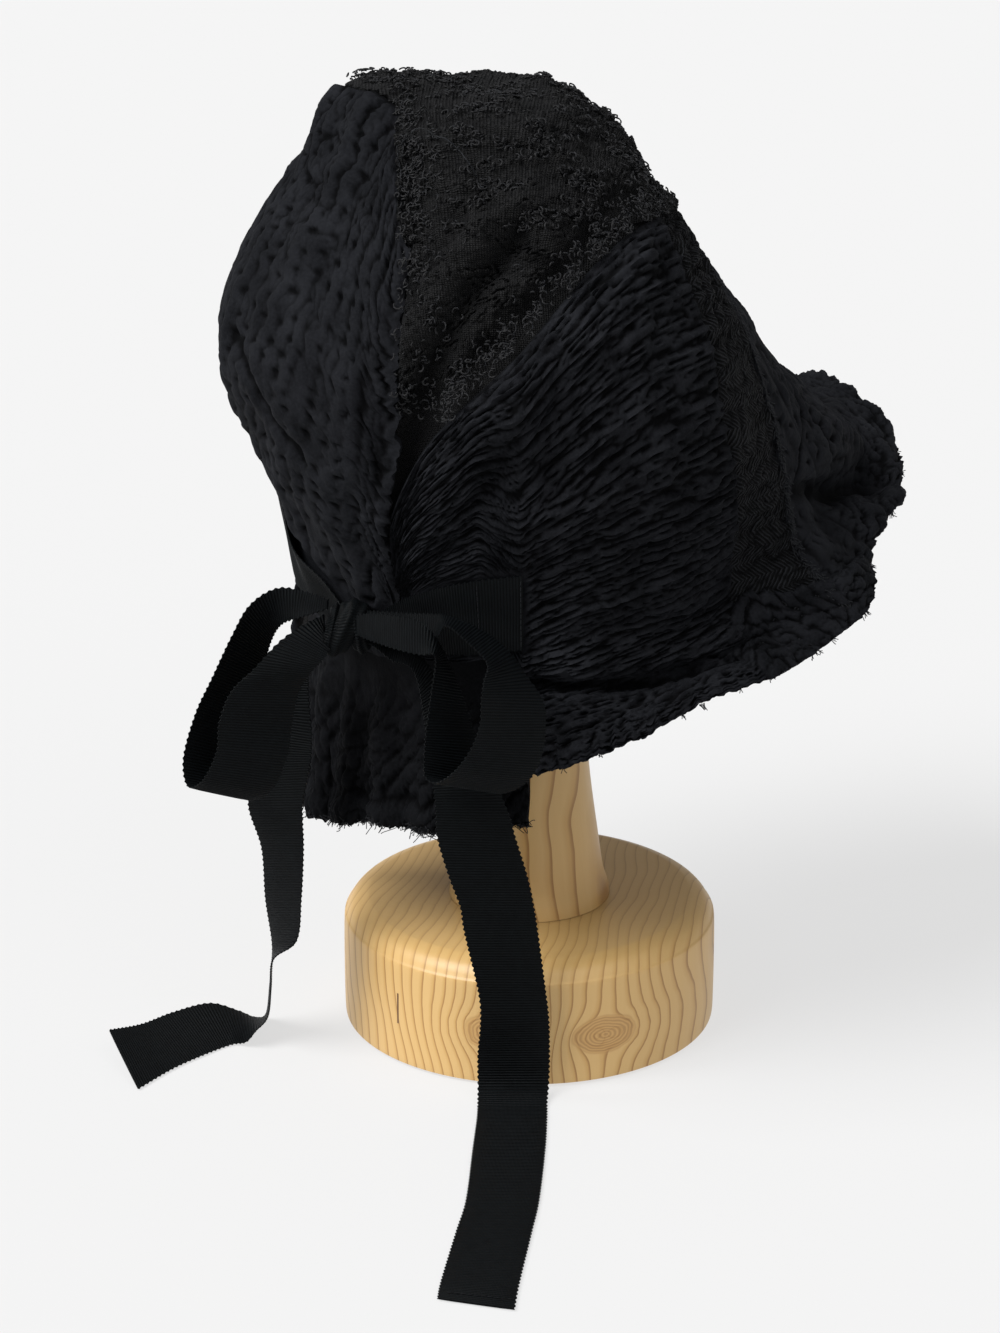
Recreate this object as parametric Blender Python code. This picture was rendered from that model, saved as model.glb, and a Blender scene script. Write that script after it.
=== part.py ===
"""Patched cloth bonnet tied with a ribbon bow, on a turned wooden stand.

Metres, Z up, the front of the hat towards -Y.  The origin is the middle of the
underside of the stand.  Directions are degrees round the stand from the back of
the hat (+Y) towards the wearer's right (-X).  Levels run from 0 at the top of the
crown to 10 at the edge of the brim.
"""
import math

import bmesh
import bpy
import numpy as np

CROWN_REACH = 0.120      # stand axis to the back of the crown at its fullest
CROWN_DROP = 0.240       # top of the crown down to the back corners of the brim
CROWN_TOP = 0.381        # top of the crown above the table
CLOTH = 0.0024           # quilted panel cloth
CURTAIN_CLOTH = 0.0018   # nape curtain
RIBBON = 0.0010          # grosgrain ribbon
GAP = 0.0003             # clearance between neighbouring pieces
BASE_RADIUS = 0.075
BASE_HEIGHT = 0.051
HEAD_RADIUS = 0.030      # hidden egg shaped head inside the crown
HEAD_HEIGHT = 0.061      # half of the egg's height
KNOT_DROP = 0.804        # crown top to the middle of the knot, share of CROWN_DROP
BOW_TURN = 55.0          # direction the bow's own axes face, degrees

BLACK_CLOTH = (0.018, 0.018, 0.021, 1.0)
DARK_CLOTH = (0.012, 0.012, 0.013, 1.0)
BLACK_RIBBON = (0.010, 0.010, 0.012, 1.0)
PINE = (0.72, 0.50, 0.27, 1.0)

# Level lines of the hat: reach as a share of CROWN_REACH and drop as a share of
# CROWN_DROP, at the back, back quarter, side, front quarter and front.
#         reach                              drop
LEVELS = (
    (0.000, 0.000, 0.000, 0.000, 0.000,      0.000, 0.000, 0.000, 0.000, 0.000),
    (0.250, 0.250, 0.183, 0.125, 0.117,      0.002, 0.002, 0.008, 0.021, 0.021),
    (0.500, 0.517, 0.350, 0.250, 0.233,      0.013, 0.013, 0.044, 0.086, 0.080),
    (0.700, 0.690, 0.560, 0.360, 0.340,      0.108, 0.110, 0.114, 0.172, 0.160),
    (0.880, 0.855, 0.745, 0.530, 0.500,      0.229, 0.225, 0.229, 0.267, 0.250),
    (1.000, 0.985, 0.883, 0.690, 0.660,      0.383, 0.375, 0.375, 0.375, 0.350),
    (0.900, 0.920, 0.917, 0.800, 0.770,      0.575, 0.567, 0.542, 0.467, 0.450),
    (0.740, 0.830, 0.883, 0.895, 0.930,      0.750, 0.700, 0.667, 0.550, 0.521),
    (0.665, 0.780, 0.830, 0.975, 1.080,      0.871, 0.821, 0.775, 0.625, 0.575),
    (0.700, 0.800, 0.858, 1.060, 1.250,      0.938, 0.896, 0.854, 0.700, 0.604),
    (0.750, 0.842, 0.930, 1.142, 1.433,      0.992, 0.992, 0.900, 0.758, 0.642),
)

# The edge of the brim: direction, reach / CROWN_REACH, drop / CROWN_DROP.
BRIM_EDGE = (
    (0, 0.750, 0.992), (30, 0.795, 0.992), (54, 0.840, 0.998), (60, 0.870, 0.985),
    (66, 0.905, 0.962), (80, 0.915, 0.926), (92, 0.983, 0.876), (105, 1.048, 0.853),
    (114, 1.110, 0.818), (122, 1.142, 0.796), (132, 1.117, 0.771), (142, 1.108, 0.738),
    (152, 1.217, 0.717), (165, 1.325, 0.696), (175, 1.408, 0.663), (182, 1.433, 0.640),
    (190, 1.500, 0.629), (197, 1.560, 0.640), (206, 1.500, 0.675), (216, 1.360, 0.708),
    (228, 1.220, 0.746), (242, 1.150, 0.800), (256, 1.060, 0.858), (270, 0.975, 0.900),
    (286, 0.900, 0.954), (302, 0.850, 0.992), (330, 0.795, 0.992), (360, 0.750, 0.992),
)

# Where the crown piece ends and the panels begin: direction, level.  It starts at
# the foot of the crown piece's tongue and runs once round the hat.
TOP_SEAM = (
    (20, 6.80), (24, 6.55), (27, 6.05), (34, 5.50), (43, 5.05), (52, 4.60), (61, 4.12),
    (70, 3.74), (80, 3.50), (92, 3.38), (120, 3.20), (150, 3.00), (180, 2.90),
    (210, 2.90), (240, 2.85), (270, 2.65), (300, 2.35), (330, 2.10), (360, 2.00),
    (367, 2.10), (374, 2.50), (381, 3.00), (388, 3.60), (395, 3.60),
)

# Where the panels end: direction, level.  Between the bow's two bands they stop at
# the ribbon, elsewhere they run to the brim edge.
FOOT_SEAM = (
    (0, 8.0), (44, 8.0), (48, 8.7), (51, 9.6), (53, 10.0), (308, 10.0), (311, 9.6),
    (315, 8.7), (319, 8.0), (404, 8.0),
)

# The tongue of the crown piece: share down it, level at its left, direction at its
# right.
TONGUE = (
    (0.00, 3.60, 92.0), (0.18, 4.10, 79.0), (0.36, 4.70, 66.0), (0.54, 5.30, 52.0),
    (0.72, 5.80, 38.0), (0.88, 6.25, 29.5), (1.00, 6.52, 25.4),
)

UNDER = 0.10             # how far the tongue tucks under the side panel, in levels
UNDER_LEFT = 2.0         # and its foot under the back panel, degrees
TONGUE_TRIM = 0.16       # degrees clear of the back panel elsewhere

# Seams between the panels: share down the panel, direction.
BACK_SEAM_RIGHT = ((0.0, 387.5), (0.14, 389.2), (0.30, 390.0), (0.42, 389.0),
                   (0.53, 386.4), (0.68, 383.0), (1.0, 381.5))
SIDE_SEAM_BACK = ((0.0, 23.3), (1.0, 21.5))
WEAVE_SEAM_BACK = ((0.0, 92.5), (0.15, 94.0), (0.30, 95.0), (0.43, 98.5), (0.70, 100.5),
                   (1.0, 103.0))
WEAVE_SEAM_FRONT = ((0.0, 122.0), (0.20, 117.5), (0.32, 116.5), (0.52, 118.0), (0.70, 117.5),
                    (0.85, 119.0), (1.0, 121.0))
STRIP_SEAM_FRONT = ((0.0, 127.0), (0.4, 130.0), (0.7, 133.0), (1.0, 138.0))
STRIP_SEAM_LEFT = ((0.0, 233.0), (0.4, 230.0), (0.7, 227.0), (1.0, 222.0))
WEAVE_SEAM_LEFT = ((0.0, 238.0), (0.3, 243.0), (0.52, 242.0), (1.0, 239.0))
SIDE_SEAM_LEFT = ((0.0, 268.0), (0.3, 265.0), (0.6, 260.0), (1.0, 256.0))
BACK_SEAM_LEFT = ((0.0, 322.0), (0.4, 318.0), (0.7, 313.0), (1.0, 311.0))

# Folds, creases and dents: a line from one direction and level to another, its
# half width in levels, and its height as a share of CROWN_REACH (valleys minus).
FOLDS = (
    (35, 5.95, 52, 5.02, 0.28, 0.032),      # turned edge of the side panel
    (52, 5.00, 80, 3.90, 0.24, 0.026),
    (31, 5.45, 48, 4.50, 0.34, -0.030),     # deep fold of the crown piece beside it
    (48, 4.50, 70, 3.45, 0.34, -0.024),
    (384, 6.20, 385, 4.20, 0.30, 0.016),    # ridge of the back panel at its seam
    (352, 6.70, 350, 5.60, 0.22, -0.014),
    (336, 5.70, 342, 6.60, 0.20, 0.020),    # loose second layer at the back left
    (318, 5.70, 330, 6.40, 0.70, -0.085),
    (326, 2.30, 350, 2.10, 0.60, 0.040),    # high back edge of the crown
    (4, 6.60, 8, 5.60, 0.22, 0.012),
    (50, 8.45, 90, 8.85, 0.26, -0.030),     # crease above the rolled brim
    (90, 8.85, 108, 9.00, 0.26, -0.022),
    (56, 9.50, 98, 9.60, 0.34, 0.022),      # rolled brim
    (134, 8.30, 158, 9.20, 0.50, -0.075),   # hollow of the front brim
    (146, 9.75, 176, 9.50, 0.30, 0.030),
    (176, 8.20, 196, 9.40, 0.45, -0.035),
    (206, 8.20, 214, 9.60, 0.45, 0.030),
    (112, 7.60, 122, 9.20, 0.35, 0.022),
    (72, 7.10, 88, 7.50, 0.35, 0.012),
    (52, 6.00, 78, 5.70, 0.30, 0.010),
    (248, 5.40, 262, 7.60, 0.40, -0.022),
    (282, 4.60, 290, 7.40, 0.35, 0.020),
    (302, 8.45, 262, 8.90, 0.28, -0.026),
    (300, 9.50, 256, 9.60, 0.34, 0.020),
    (70, 1.60, 110, 2.10, 0.50, 0.020),     # soft lumps on top of the crown
    (20, 1.50, 350, 1.70, 0.50, 0.012),
    (190, 1.40, 230, 1.60, 0.50, -0.014),
)

# Nape curtain, tucked inside the band: share down and how far it spreads at its
# left end, middle and right end, shares of CROWN_REACH.
CURTAIN_LEFT = 316.0
CURTAIN_RIGHT = 414.0
CURTAIN_PLEATS = 6
CURTAIN_PLEAT_DEPTH = 0.030
CURTAIN = (
    # down, left, middle, right
    (0.00, 0.000, 0.000, 0.000), (0.12, 0.000, 0.000, -0.010),
    (0.30, 0.015, 0.020, -0.050), (0.60, 0.030, 0.050, -0.080),
    (1.00, 0.055, 0.065, -0.100),
)
CURTAIN_LENGTH = (0.465, 0.340, 0.375)   # left, middle, right, shares of CROWN_DROP

# Ribbon bands sewn to the hat: direction, upper level, lower level, and how far the
# upper and the lower edge stand off as shares of CROWN_REACH.  Both lift to the knot.
BAND_RIGHT = ((10.6, 7.40, 7.66, 0.029, 0.029), (15, 7.30, 7.72, 0.012, 0.012),
              (22, 7.14, 7.84, 0.0, 0.0), (32, 6.98, 7.88, 0.0, 0.0),
              (43, 6.86, 7.88, 0.0, 0.0), (53, 6.80, 7.84, 0.0, 0.0))
BAND_LEFT = ((318, 6.78, 7.82, 0.0, 0.0), (330, 6.82, 7.86, 0.035, 0.0),
             (342, 6.94, 7.88, 0.025, 0.0), (354, 7.10, 7.84, 0.008, 0.0),
             (360, 7.30, 7.76, 0.012, 0.012), (367, 7.40, 7.66, 0.040, 0.040))

# Edges of the loose ribbons.  Columns for one edge, then the same for the other:
# across (image right) and out (towards the viewer) as shares of CROWN_REACH, and
# height as a share of the knot's height.
LOOP_RIGHT = (
    (-0.524, 0.575, 1.028, -0.525, 0.583, 0.990), (-0.486, 0.642, 1.045, -0.486, 0.658, 1.002),
    (-0.382, 0.717, 1.057, -0.382, 0.750, 1.017), (-0.301, 0.792, 1.072, -0.294, 0.825, 1.034),
    (-0.251, 0.825, 1.075, -0.262, 0.925, 1.079), (-0.154, 0.850, 1.052, -0.198, 0.967, 1.056),
    (-0.078, 0.883, 1.020, -0.138, 1.008, 1.022), (-0.020, 0.917, 0.974, -0.147, 1.042, 0.991),
    (0.031, 0.942, 0.927, -0.153, 1.050, 0.957), (0.038, 0.950, 0.877, -0.159, 1.042, 0.899),
    (0.026, 0.942, 0.816, -0.190, 1.025, 0.843), (-0.010, 0.925, 0.762, -0.239, 1.008, 0.796),
    (-0.075, 0.892, 0.726, -0.292, 0.958, 0.762), (-0.124, 0.842, 0.719, -0.329, 0.908, 0.764),
    (-0.152, 0.825, 0.777, -0.329, 0.900, 0.812), (-0.182, 0.817, 0.838, -0.322, 0.892, 0.858),
    (-0.216, 0.817, 0.911, -0.306, 0.892, 0.939), (-0.255, 0.825, 0.978, -0.294, 0.875, 0.989),
    (-0.291, 0.850, 1.033, -0.302, 0.908, 1.018), (-0.342, 0.842, 1.066, -0.342, 0.875, 1.010),
    (-0.410, 0.800, 1.069, -0.411, 0.825, 1.009), (-0.490, 0.717, 1.057, -0.490, 0.733, 1.005),
    (-0.542, 0.650, 1.038, -0.542, 0.650, 1.000),
)
LOOP_LEFT = (
    (-0.636, 0.533, 1.045, -0.635, 0.558, 1.033), (-0.711, 0.467, 1.048, -0.724, 0.500, 1.003),
    (-0.800, 0.450, 1.051, -0.784, 0.450, 0.979), (-0.885, 0.467, 1.019, -0.820, 0.383, 0.936),
    (-0.944, 0.475, 0.954, -0.847, 0.350, 0.881), (-1.007, 0.483, 0.869, -0.869, 0.350, 0.802),
    (-1.063, 0.492, 0.793, -0.896, 0.367, 0.723), (-1.104, 0.508, 0.701, -0.921, 0.417, 0.648),
    (-1.090, 0.550, 0.651, -0.911, 0.500, 0.610), (-1.036, 0.617, 0.679, -0.829, 0.567, 0.644),
    (-0.987, 0.642, 0.748, -0.775, 0.583, 0.720), (-0.975, 0.650, 0.814, -0.757, 0.583, 0.791),
    (-0.935, 0.650, 0.878, -0.732, 0.600, 0.864), (-0.858, 0.650, 0.929, -0.691, 0.633, 0.916),
    (-0.786, 0.633, 0.978, -0.652, 0.650, 0.946), (-0.712, 0.600, 1.006, -0.631, 0.633, 0.967),
    (-0.647, 0.558, 1.020, -0.647, 0.575, 0.986),
)
TAIL_RIGHT = (
    (-0.532, 0.567, 0.982, -0.531, 0.592, 0.975), (-0.485, 0.600, 0.979, -0.484, 0.642, 0.969),
    (-0.425, 0.650, 0.971, -0.434, 0.683, 0.953), (-0.334, 0.725, 0.963, -0.358, 0.758, 0.937),
    (-0.161, 0.770, 0.778, -0.315, 0.782, 0.762), (-0.083, 0.767, 0.662, -0.298, 0.808, 0.672),
    (-0.052, 0.763, 0.592, -0.293, 0.803, 0.606), (-0.014, 0.750, 0.504, -0.256, 0.800, 0.518),
    (0.006, 0.750, 0.438, -0.222, 0.778, 0.448), (0.018, 0.733, 0.382, -0.210, 0.767, 0.390),
    (0.045, 0.700, 0.236, -0.166, 0.758, 0.254), (0.055, 0.700, 0.176, -0.159, 0.750, 0.188),
    (0.058, 0.690, 0.092, -0.168, 0.706, 0.096), (0.056, 0.692, 0.026, -0.168, 0.700, 0.028),
    (0.050, 0.752, 0.003, -0.168, 0.758, 0.003), (0.048, 0.860, 0.001, -0.170, 0.860, 0.001),
    (0.040, 1.070, 0.001, -0.182, 1.070, 0.001), (0.018, 1.400, 0.001, -0.200, 1.400, 0.001),
    (-0.006, 1.600, 0.001, -0.228, 1.600, 0.001), (-0.045, 1.906, 0.001, -0.268, 1.890, 0.001),
    (-0.060, 2.060, 0.001, -0.278, 2.000, 0.001),
)
TAIL_LEFT = (
    (-0.637, 0.542, 0.990, -0.637, 0.558, 0.975), (-0.679, 0.467, 0.953, -0.671, 0.517, 0.945),
    (-0.765, 0.425, 0.894, -0.702, 0.483, 0.890), (-0.840, 0.392, 0.810, -0.707, 0.483, 0.832),
    (-0.863, 0.383, 0.732, -0.700, 0.483, 0.739), (-0.889, 0.367, 0.639, -0.709, 0.483, 0.673),
    (-0.913, 0.350, 0.557, -0.734, 0.467, 0.588), (-0.876, 0.317, 0.452, -0.735, 0.450, 0.486),
    (-0.870, 0.283, 0.328, -0.745, 0.450, 0.374), (-0.855, 0.250, 0.224, -0.764, 0.433, 0.274),
    (-0.858, 0.233, 0.170, -0.842, 0.417, 0.226), (-0.868, 0.203, 0.108, -0.852, 0.413, 0.158),
    (-0.890, 0.120, 0.012, -0.870, 0.330, 0.068), (-0.930, 0.122, 0.004, -0.910, 0.346, 0.040),
    (-0.986, 0.125, 0.020, -0.945, 0.330, 0.010), (-1.079, 0.136, 0.040, -0.995, 0.320, 0.001),
    (-1.195, 0.206, 0.040, -1.079, 0.395, 0.001), (-1.292, 0.304, 0.042, -1.175, 0.500, 0.001),
    (-1.388, 0.408, 0.060, -1.275, 0.648, 0.001),
)
KNOT = (-0.580, 0.575, 0.997)      # middle of the knot, same three columns
KNOT_HALF = (0.060, 0.071, 0.090)  # its half sizes, shares of CROWN_REACH
KNOT_RIPPLE = 0.05                 # ripple of its wraps, share of its size
KNOT_POWER = 0.7                   # how full its shoulders are

# Turned outlines of the stand.
BASE_OUTLINE = ((0.940, 0.000), (0.985, 0.030), (1.000, 0.090), (1.000, 0.760),
                (0.985, 0.870), (0.945, 0.950), (0.880, 0.992), (0.840, 1.000))
POST_OUTLINE = ((0.433, 0.000), (0.420, 0.022), (0.395, 0.052), (0.368, 0.117),
                (0.324, 0.232), (0.293, 0.350), (0.273, 0.490), (0.267, 1.000))
HEAD_FLAT = 0.55                   # bottom flat of the egg, share of HEAD_RADIUS


def remove_everything():
    for item in list(bpy.data.objects):
        bpy.data.objects.remove(item, do_unlink=True)


def material(name, colour, roughness):
    made = bpy.data.materials.new(name)
    made.use_nodes = True
    shader = made.node_tree.nodes["Principled BSDF"]
    shader.inputs["Base Color"].default_value = colour
    shader.inputs["Roughness"].default_value = roughness
    shader.inputs["Metallic"].default_value = 0.0
    made.diffuse_color = colour
    return made


def weights(x):
    """Smooth interpolation weights of the four points round a place between two."""
    return (0.5 * (-x + 2 * x**2 - x**3), 0.5 * (2 - 5 * x**2 + 3 * x**3),
            0.5 * (x + 4 * x**2 - 3 * x**3), 0.5 * (x**3 - x**2))


def level_lines(direction, level):
    """Reach and drop shares of the plain hat without folds or brim edge."""
    table = np.array(LEVELS)
    turn = np.mod(direction, 360.0) / 45.0
    step, x = np.floor(turn).astype(int), turn - np.floor(turn)
    row = np.clip(np.floor(level).astype(int), 0, len(LEVELS) - 2)
    y = level - row
    reach, drop = np.zeros_like(turn), np.zeros_like(turn)
    for j, wy in enumerate(weights(y)):
        at = row + j - 1
        mirrored = at < 0
        at = np.clip(np.abs(at), 0, len(LEVELS) - 1)
        for i, wx in enumerate(weights(x)):
            side = np.mod(step + i - 1, 8)
            side = np.where(side > 4, 8 - side, side)
            reach += wx * wy * np.where(mirrored, -1.0, 1.0) * table[at, side]
            drop += wx * wy * table[at, side + 5]
    return reach, drop


def along(rows, column, at):
    """A table's column read smoothly, without overshoot, by its first column."""
    table = np.array(rows, float)
    x, y = table[:, 0], table[:, column]
    rise = np.diff(y) / np.diff(x)
    slope = np.zeros_like(y)
    before, after = rise[:-1], rise[1:]
    rising = before * after > 0
    slope[1:-1][rising] = 2 * before[rising] * after[rising] / (before + after)[rising]
    slope[0], slope[-1] = rise[0], rise[-1]
    i = np.clip(np.searchsorted(x, at) - 1, 0, len(x) - 2)
    h = x[i + 1] - x[i]
    u = np.clip((at - x[i]) / h, 0.0, 1.0)
    return ((1 + 2 * u) * (1 - u)**2 * y[i] + u * (1 - u)**2 * h * slope[i]
            + u**2 * (3 - 2 * u) * y[i + 1] - u**2 * (1 - u) * h * slope[i + 1])


def smooth_step(x):
    x = np.clip(x, 0.0, 1.0)
    return x * x * (3 - 2 * x)


def plain_point(direction, level):
    reach, drop = level_lines(direction, level)
    around = np.mod(direction, 360.0)
    edge_reach, edge_drop = level_lines(direction, np.full_like(level, 10.0))
    near_edge = smooth_step((level - 7.6) / 2.4)
    reach = reach + near_edge * (along(BRIM_EDGE, 1, around) - edge_reach)
    drop = drop + near_edge * (along(BRIM_EDGE, 2, around) - edge_drop)
    angle = np.radians(direction)
    return np.stack([-np.sin(angle) * reach * CROWN_REACH,
                     np.cos(angle) * reach * CROWN_REACH,
                     CROWN_TOP - drop * CROWN_DROP], -1)


def relief(direction, level):
    """Height of the folds above the plain hat."""
    total = np.zeros_like(level)
    for d0, l0, d1, l1, width, height in FOLDS:
        mid = 0.5 * (d0 + d1) if abs(d1 - d0) < 180 else 0.5 * (d0 + d1) - 180
        turn = np.mod(direction - mid + 180.0, 360.0) - 180.0
        half = 0.5 * (np.mod(d1 - d0 + 180.0, 360.0) - 180.0) / 15.0
        ax, ay = 2 * half, l1 - l0
        px, py = turn / 15.0 + half, level - l0
        share = np.clip((px * ax + py * ay) / (ax**2 + ay**2), 0.0, 1.0)
        away = np.hypot(px - share * ax, py - share * ay)
        total += height * np.exp(-(away / width)**2)
    return total * CROWN_REACH


def with_normal(function, direction, level):
    step_d, step_l = 0.25, 0.01
    across = function(direction + step_d, level) - function(direction - step_d, level)
    down = function(direction, level + step_l) - function(direction, level - step_l)
    normal = np.cross(down, across)
    length = np.linalg.norm(normal, axis=-1, keepdims=True)
    return normal / np.maximum(length, 1e-12)


def hat_point(direction, level):
    """A point on the outside of the hat."""
    place = plain_point(direction, level)
    return place + with_normal(plain_point, direction, level) * relief(direction, level)[..., None]


def hat_normal(direction, level):
    return with_normal(hat_point, direction, level)


def shell(name, outer, inner, faces, colour, roughness):
    """Closed body between two matching sheets."""
    mesh = bmesh.new()
    top = [mesh.verts.new(p) for p in outer]
    low = [mesh.verts.new(p) for p in inner]
    directed = set()
    for face in faces:
        mesh.faces.new([top[i] for i in face])
        mesh.faces.new([low[i] for i in reversed(face)])
        directed.update(zip(face, face[1:] + face[:1]))
    for i, j in sorted(directed):
        if (j, i) not in directed:
            mesh.faces.new((top[j], top[i], low[i], low[j]))
    return add_object(name, mesh, colour, roughness)


def add_object(name, mesh, colour, roughness):
    bmesh.ops.recalc_face_normals(mesh, faces=mesh.faces[:])
    bmesh.ops.triangulate(mesh, faces=mesh.faces[:])
    data = bpy.data.meshes.new(name)
    mesh.to_mesh(data)
    mesh.free()
    data.shade_smooth()
    data.set_sharp_from_angle(angle=math.radians(50))
    made = bpy.data.objects.new(name, data)
    data.materials.append(material(name, colour, roughness))
    bpy.context.scene.collection.objects.link(made)
    return made


def grid_faces(rows, columns):
    faces = []
    for i in range(rows):
        for j in range(columns):
            a = i * (columns + 1) + j
            faces.append((a, a + columns + 1, a + columns + 2, a + 1))
    return faces


def panel(name, left, right, columns, rows, colour=BLACK_CLOTH, roughness=0.85):
    """Cloth between two seams, from the crown piece's seam down to the foot seam."""
    share = np.repeat(np.linspace(0, 1, rows + 1), columns + 1)
    part = np.tile(np.linspace(0, 1, columns + 1), rows + 1)
    start, end = along(left, 1, share), along(right, 1, share)
    direction = start + (end - start) * part
    level = lerp_level(direction, share)
    reach = np.linalg.norm(hat_point(direction, level)[:, :2], axis=1)
    trim = np.degrees(0.9 * GAP / reach)
    direction = (start + trim) + (end - start - 2 * trim) * part
    level = lerp_level(direction, share)
    cloth(name, direction, level, CLOTH, grid_faces(rows, columns), colour, roughness)


def lerp_level(direction, share):
    around = np.where(direction < 21.0, direction + 360.0, direction)
    top = along(TOP_SEAM, 1, around) + 0.034
    foot = along(FOOT_SEAM, 1, direction)
    return top + (foot - top) * share


def cloth(name, direction, level, thickness, faces, colour, roughness):
    outer = hat_point(direction, level)
    inner = outer - thickness * hat_normal(direction, level)
    shell(name, outer, inner, faces, colour, roughness)


def left_edge(level):
    """Direction of the crown tongue's left side, along the back panel."""
    return along(BACK_SEAM_RIGHT, 1, (level - 3.6) / (8.0 - 3.6)) - 360.0


def crown_piece():
    """Round cap with a tongue that narrows down the back right of the hat."""
    rings, tongue_rows, tongue_columns = 6, 12, 8
    turns = list(np.linspace(28.0, 92.0, tongue_columns + 1))
    turns += list(np.linspace(92.0, 360.0, 26))[1:] + [367.0, 374.0, 381.0]
    seam = np.array([t if t >= 92.0 else 28.0 + t for t in turns])
    rim = np.where(np.array(turns) <= 92.0,
                   3.60 + (np.array(turns) - 28.0) * (3.38 - 3.60) / 64.0,
                   along(TOP_SEAM, 1, seam))
    direction, level, faces = [0.0], [0.0], []
    count = len(turns)
    for ring in range(1, rings + 1):
        direction += turns
        level += list(rim * ring / rings)
    for k in range(count):
        k1 = (k + 1) % count
        faces.append((0, 1 + k, 1 + k1))
        for ring in range(rings - 1):
            a, b = 1 + ring * count, 1 + (ring + 1) * count
            faces.append((a + k, b + k, b + k1, a + k1))
    above = [1 + (rings - 1) * count + k for k in range(tongue_columns + 1)]
    for row in range(1, tongue_rows + 1):
        share = np.array([row / tongue_rows])
        l0, d1 = (float(along(TONGUE, c, share)[0]) for c in (1, 2))
        d0 = float(left_edge(l0))
        l1 = float(along(TOP_SEAM, 1, d1)) + UNDER
        here = []
        for column in range(tongue_columns + 1):
            part = column / tongue_columns
            here.append(len(direction))
            direction.append(d0 + (d1 - d0) * part)
            level.append(l0 + (l1 - l0) * part)
        for column in range(tongue_columns):
            faces.append((above[column], here[column], here[column + 1], above[column + 1]))
        above = here
    direction, level = np.array(direction), np.array(level)
    tongue = np.arange(len(direction)) >= 1 + (rings - 1) * count
    tongue &= (direction >= 20.0) & (direction <= 92.0)
    tuck = smooth_step(1 - (along(TOP_SEAM, 1, direction) - level - 2 * UNDER) / 0.4) * tongue
    left = tongue & (np.abs(direction - left_edge(level)) < 0.01)
    under = smooth_step((tuck - 0.95) / 0.05) * (UNDER_LEFT + TONGUE_TRIM)
    direction = np.where(left, direction + TONGUE_TRIM - under, direction)
    outer, normal = hat_point(direction, level), hat_normal(direction, level)
    outer[0], normal[0] = (0.0, 0.0, CROWN_TOP), (0.0, 0.0, 1.0)
    outer -= (tuck * (CLOTH + 9 * GAP))[:, None] * normal
    shell("crown_boucle_panel", outer, outer - CLOTH * normal, faces, DARK_CLOTH, 0.95)


def nape_curtain():
    columns, rows = 30, 6
    share = np.repeat(np.linspace(0, 1, rows + 1), columns + 1)
    part = np.tile(np.linspace(0, 1, columns + 1), rows + 1)
    direction = CURTAIN_LEFT + (CURTAIN_RIGHT - CURTAIN_LEFT) * part
    start_level = np.full_like(direction, 7.55)
    start = hat_point(direction, start_level)
    inside = hat_normal(direction, start_level)
    start = start - (CLOTH + 3 * GAP) * inside
    reach = np.linalg.norm(start[:, :2], axis=1)
    left, middle, right = (along(CURTAIN, c, share) for c in (1, 2, 3))
    bulge = np.where(part < 0.5, left + (middle - left) * 2 * part,
                     middle + (right - middle) * (2 * part - 1))
    pleat = CURTAIN_PLEAT_DEPTH * np.sin(2 * math.pi * CURTAIN_PLEATS * part)
    fall = smooth_step((share - 0.14) / 0.5)
    length = np.interp(part, (0.0, 0.5, 1.0), CURTAIN_LENGTH) * CROWN_DROP
    for level in (7.8, 8.1, 8.4, 8.7):
        beside = hat_point(direction, np.full_like(direction, level))
        reach = np.minimum(reach, np.linalg.norm(beside[:, :2], axis=1) - CLOTH - 4 * GAP)
    reach = reach + CROWN_REACH * (bulge * fall + (pleat - CURTAIN_PLEAT_DEPTH) * fall)
    height = start[:, 2] - share * length
    angle = np.radians(direction)
    outer = np.stack([-np.sin(angle) * reach, np.cos(angle) * reach, height], -1)
    faces = grid_faces(rows, columns)
    shell("nape_curtain", outer, outer - CURTAIN_CLOTH * grid_normals(outer, rows, columns),
          faces, BLACK_CLOTH, 0.85)


def grid_normals(points, rows, columns):
    grid = points.reshape(rows + 1, columns + 1, 3)
    down, across = np.gradient(grid, axis=0), np.gradient(grid, axis=1)
    normal = np.cross(down, across).reshape(-1, 3)
    return normal / np.linalg.norm(normal, axis=-1, keepdims=True)


def band(name, rows_table, along_count=12, across_count=3):
    direction = np.tile(np.linspace(rows_table[0][0], rows_table[-1][0], along_count + 1),
                        across_count + 1)
    part = np.repeat(np.linspace(0, 1, across_count + 1), along_count + 1)
    upper, lower = along(rows_table, 1, direction), along(rows_table, 2, direction)
    level = upper + (lower - upper) * part
    lift = along(rows_table, 3, direction) * (1 - part) + along(rows_table, 4, direction) * part
    off = 2.5 * GAP + lift * CROWN_REACH
    inner = hat_point(direction, level) + off[:, None] * hat_normal(direction, level)
    outer = inner + RIBBON * hat_normal(direction, level)
    shell(name, outer, inner, grid_faces(across_count, along_count), BLACK_RIBBON, 0.7)


def bow_place(table):
    """Bow columns (across, out, height) turned into metres in the hat's frame."""
    table = np.asarray(table, float)
    turn = math.radians(BOW_TURN)
    across, out = table[..., 0] * CROWN_REACH, table[..., 1] * CROWN_REACH
    knot_height = CROWN_TOP - KNOT_DROP * CROWN_DROP
    return np.stack([-math.cos(turn) * across - math.sin(turn) * out,
                     -math.sin(turn) * across + math.cos(turn) * out,
                     0.6 * RIBBON + table[..., 2] * knot_height], -1)


def knot_swell(around):
    return 1.0 - KNOT_RIPPLE * np.cos(3 * around)


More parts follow.
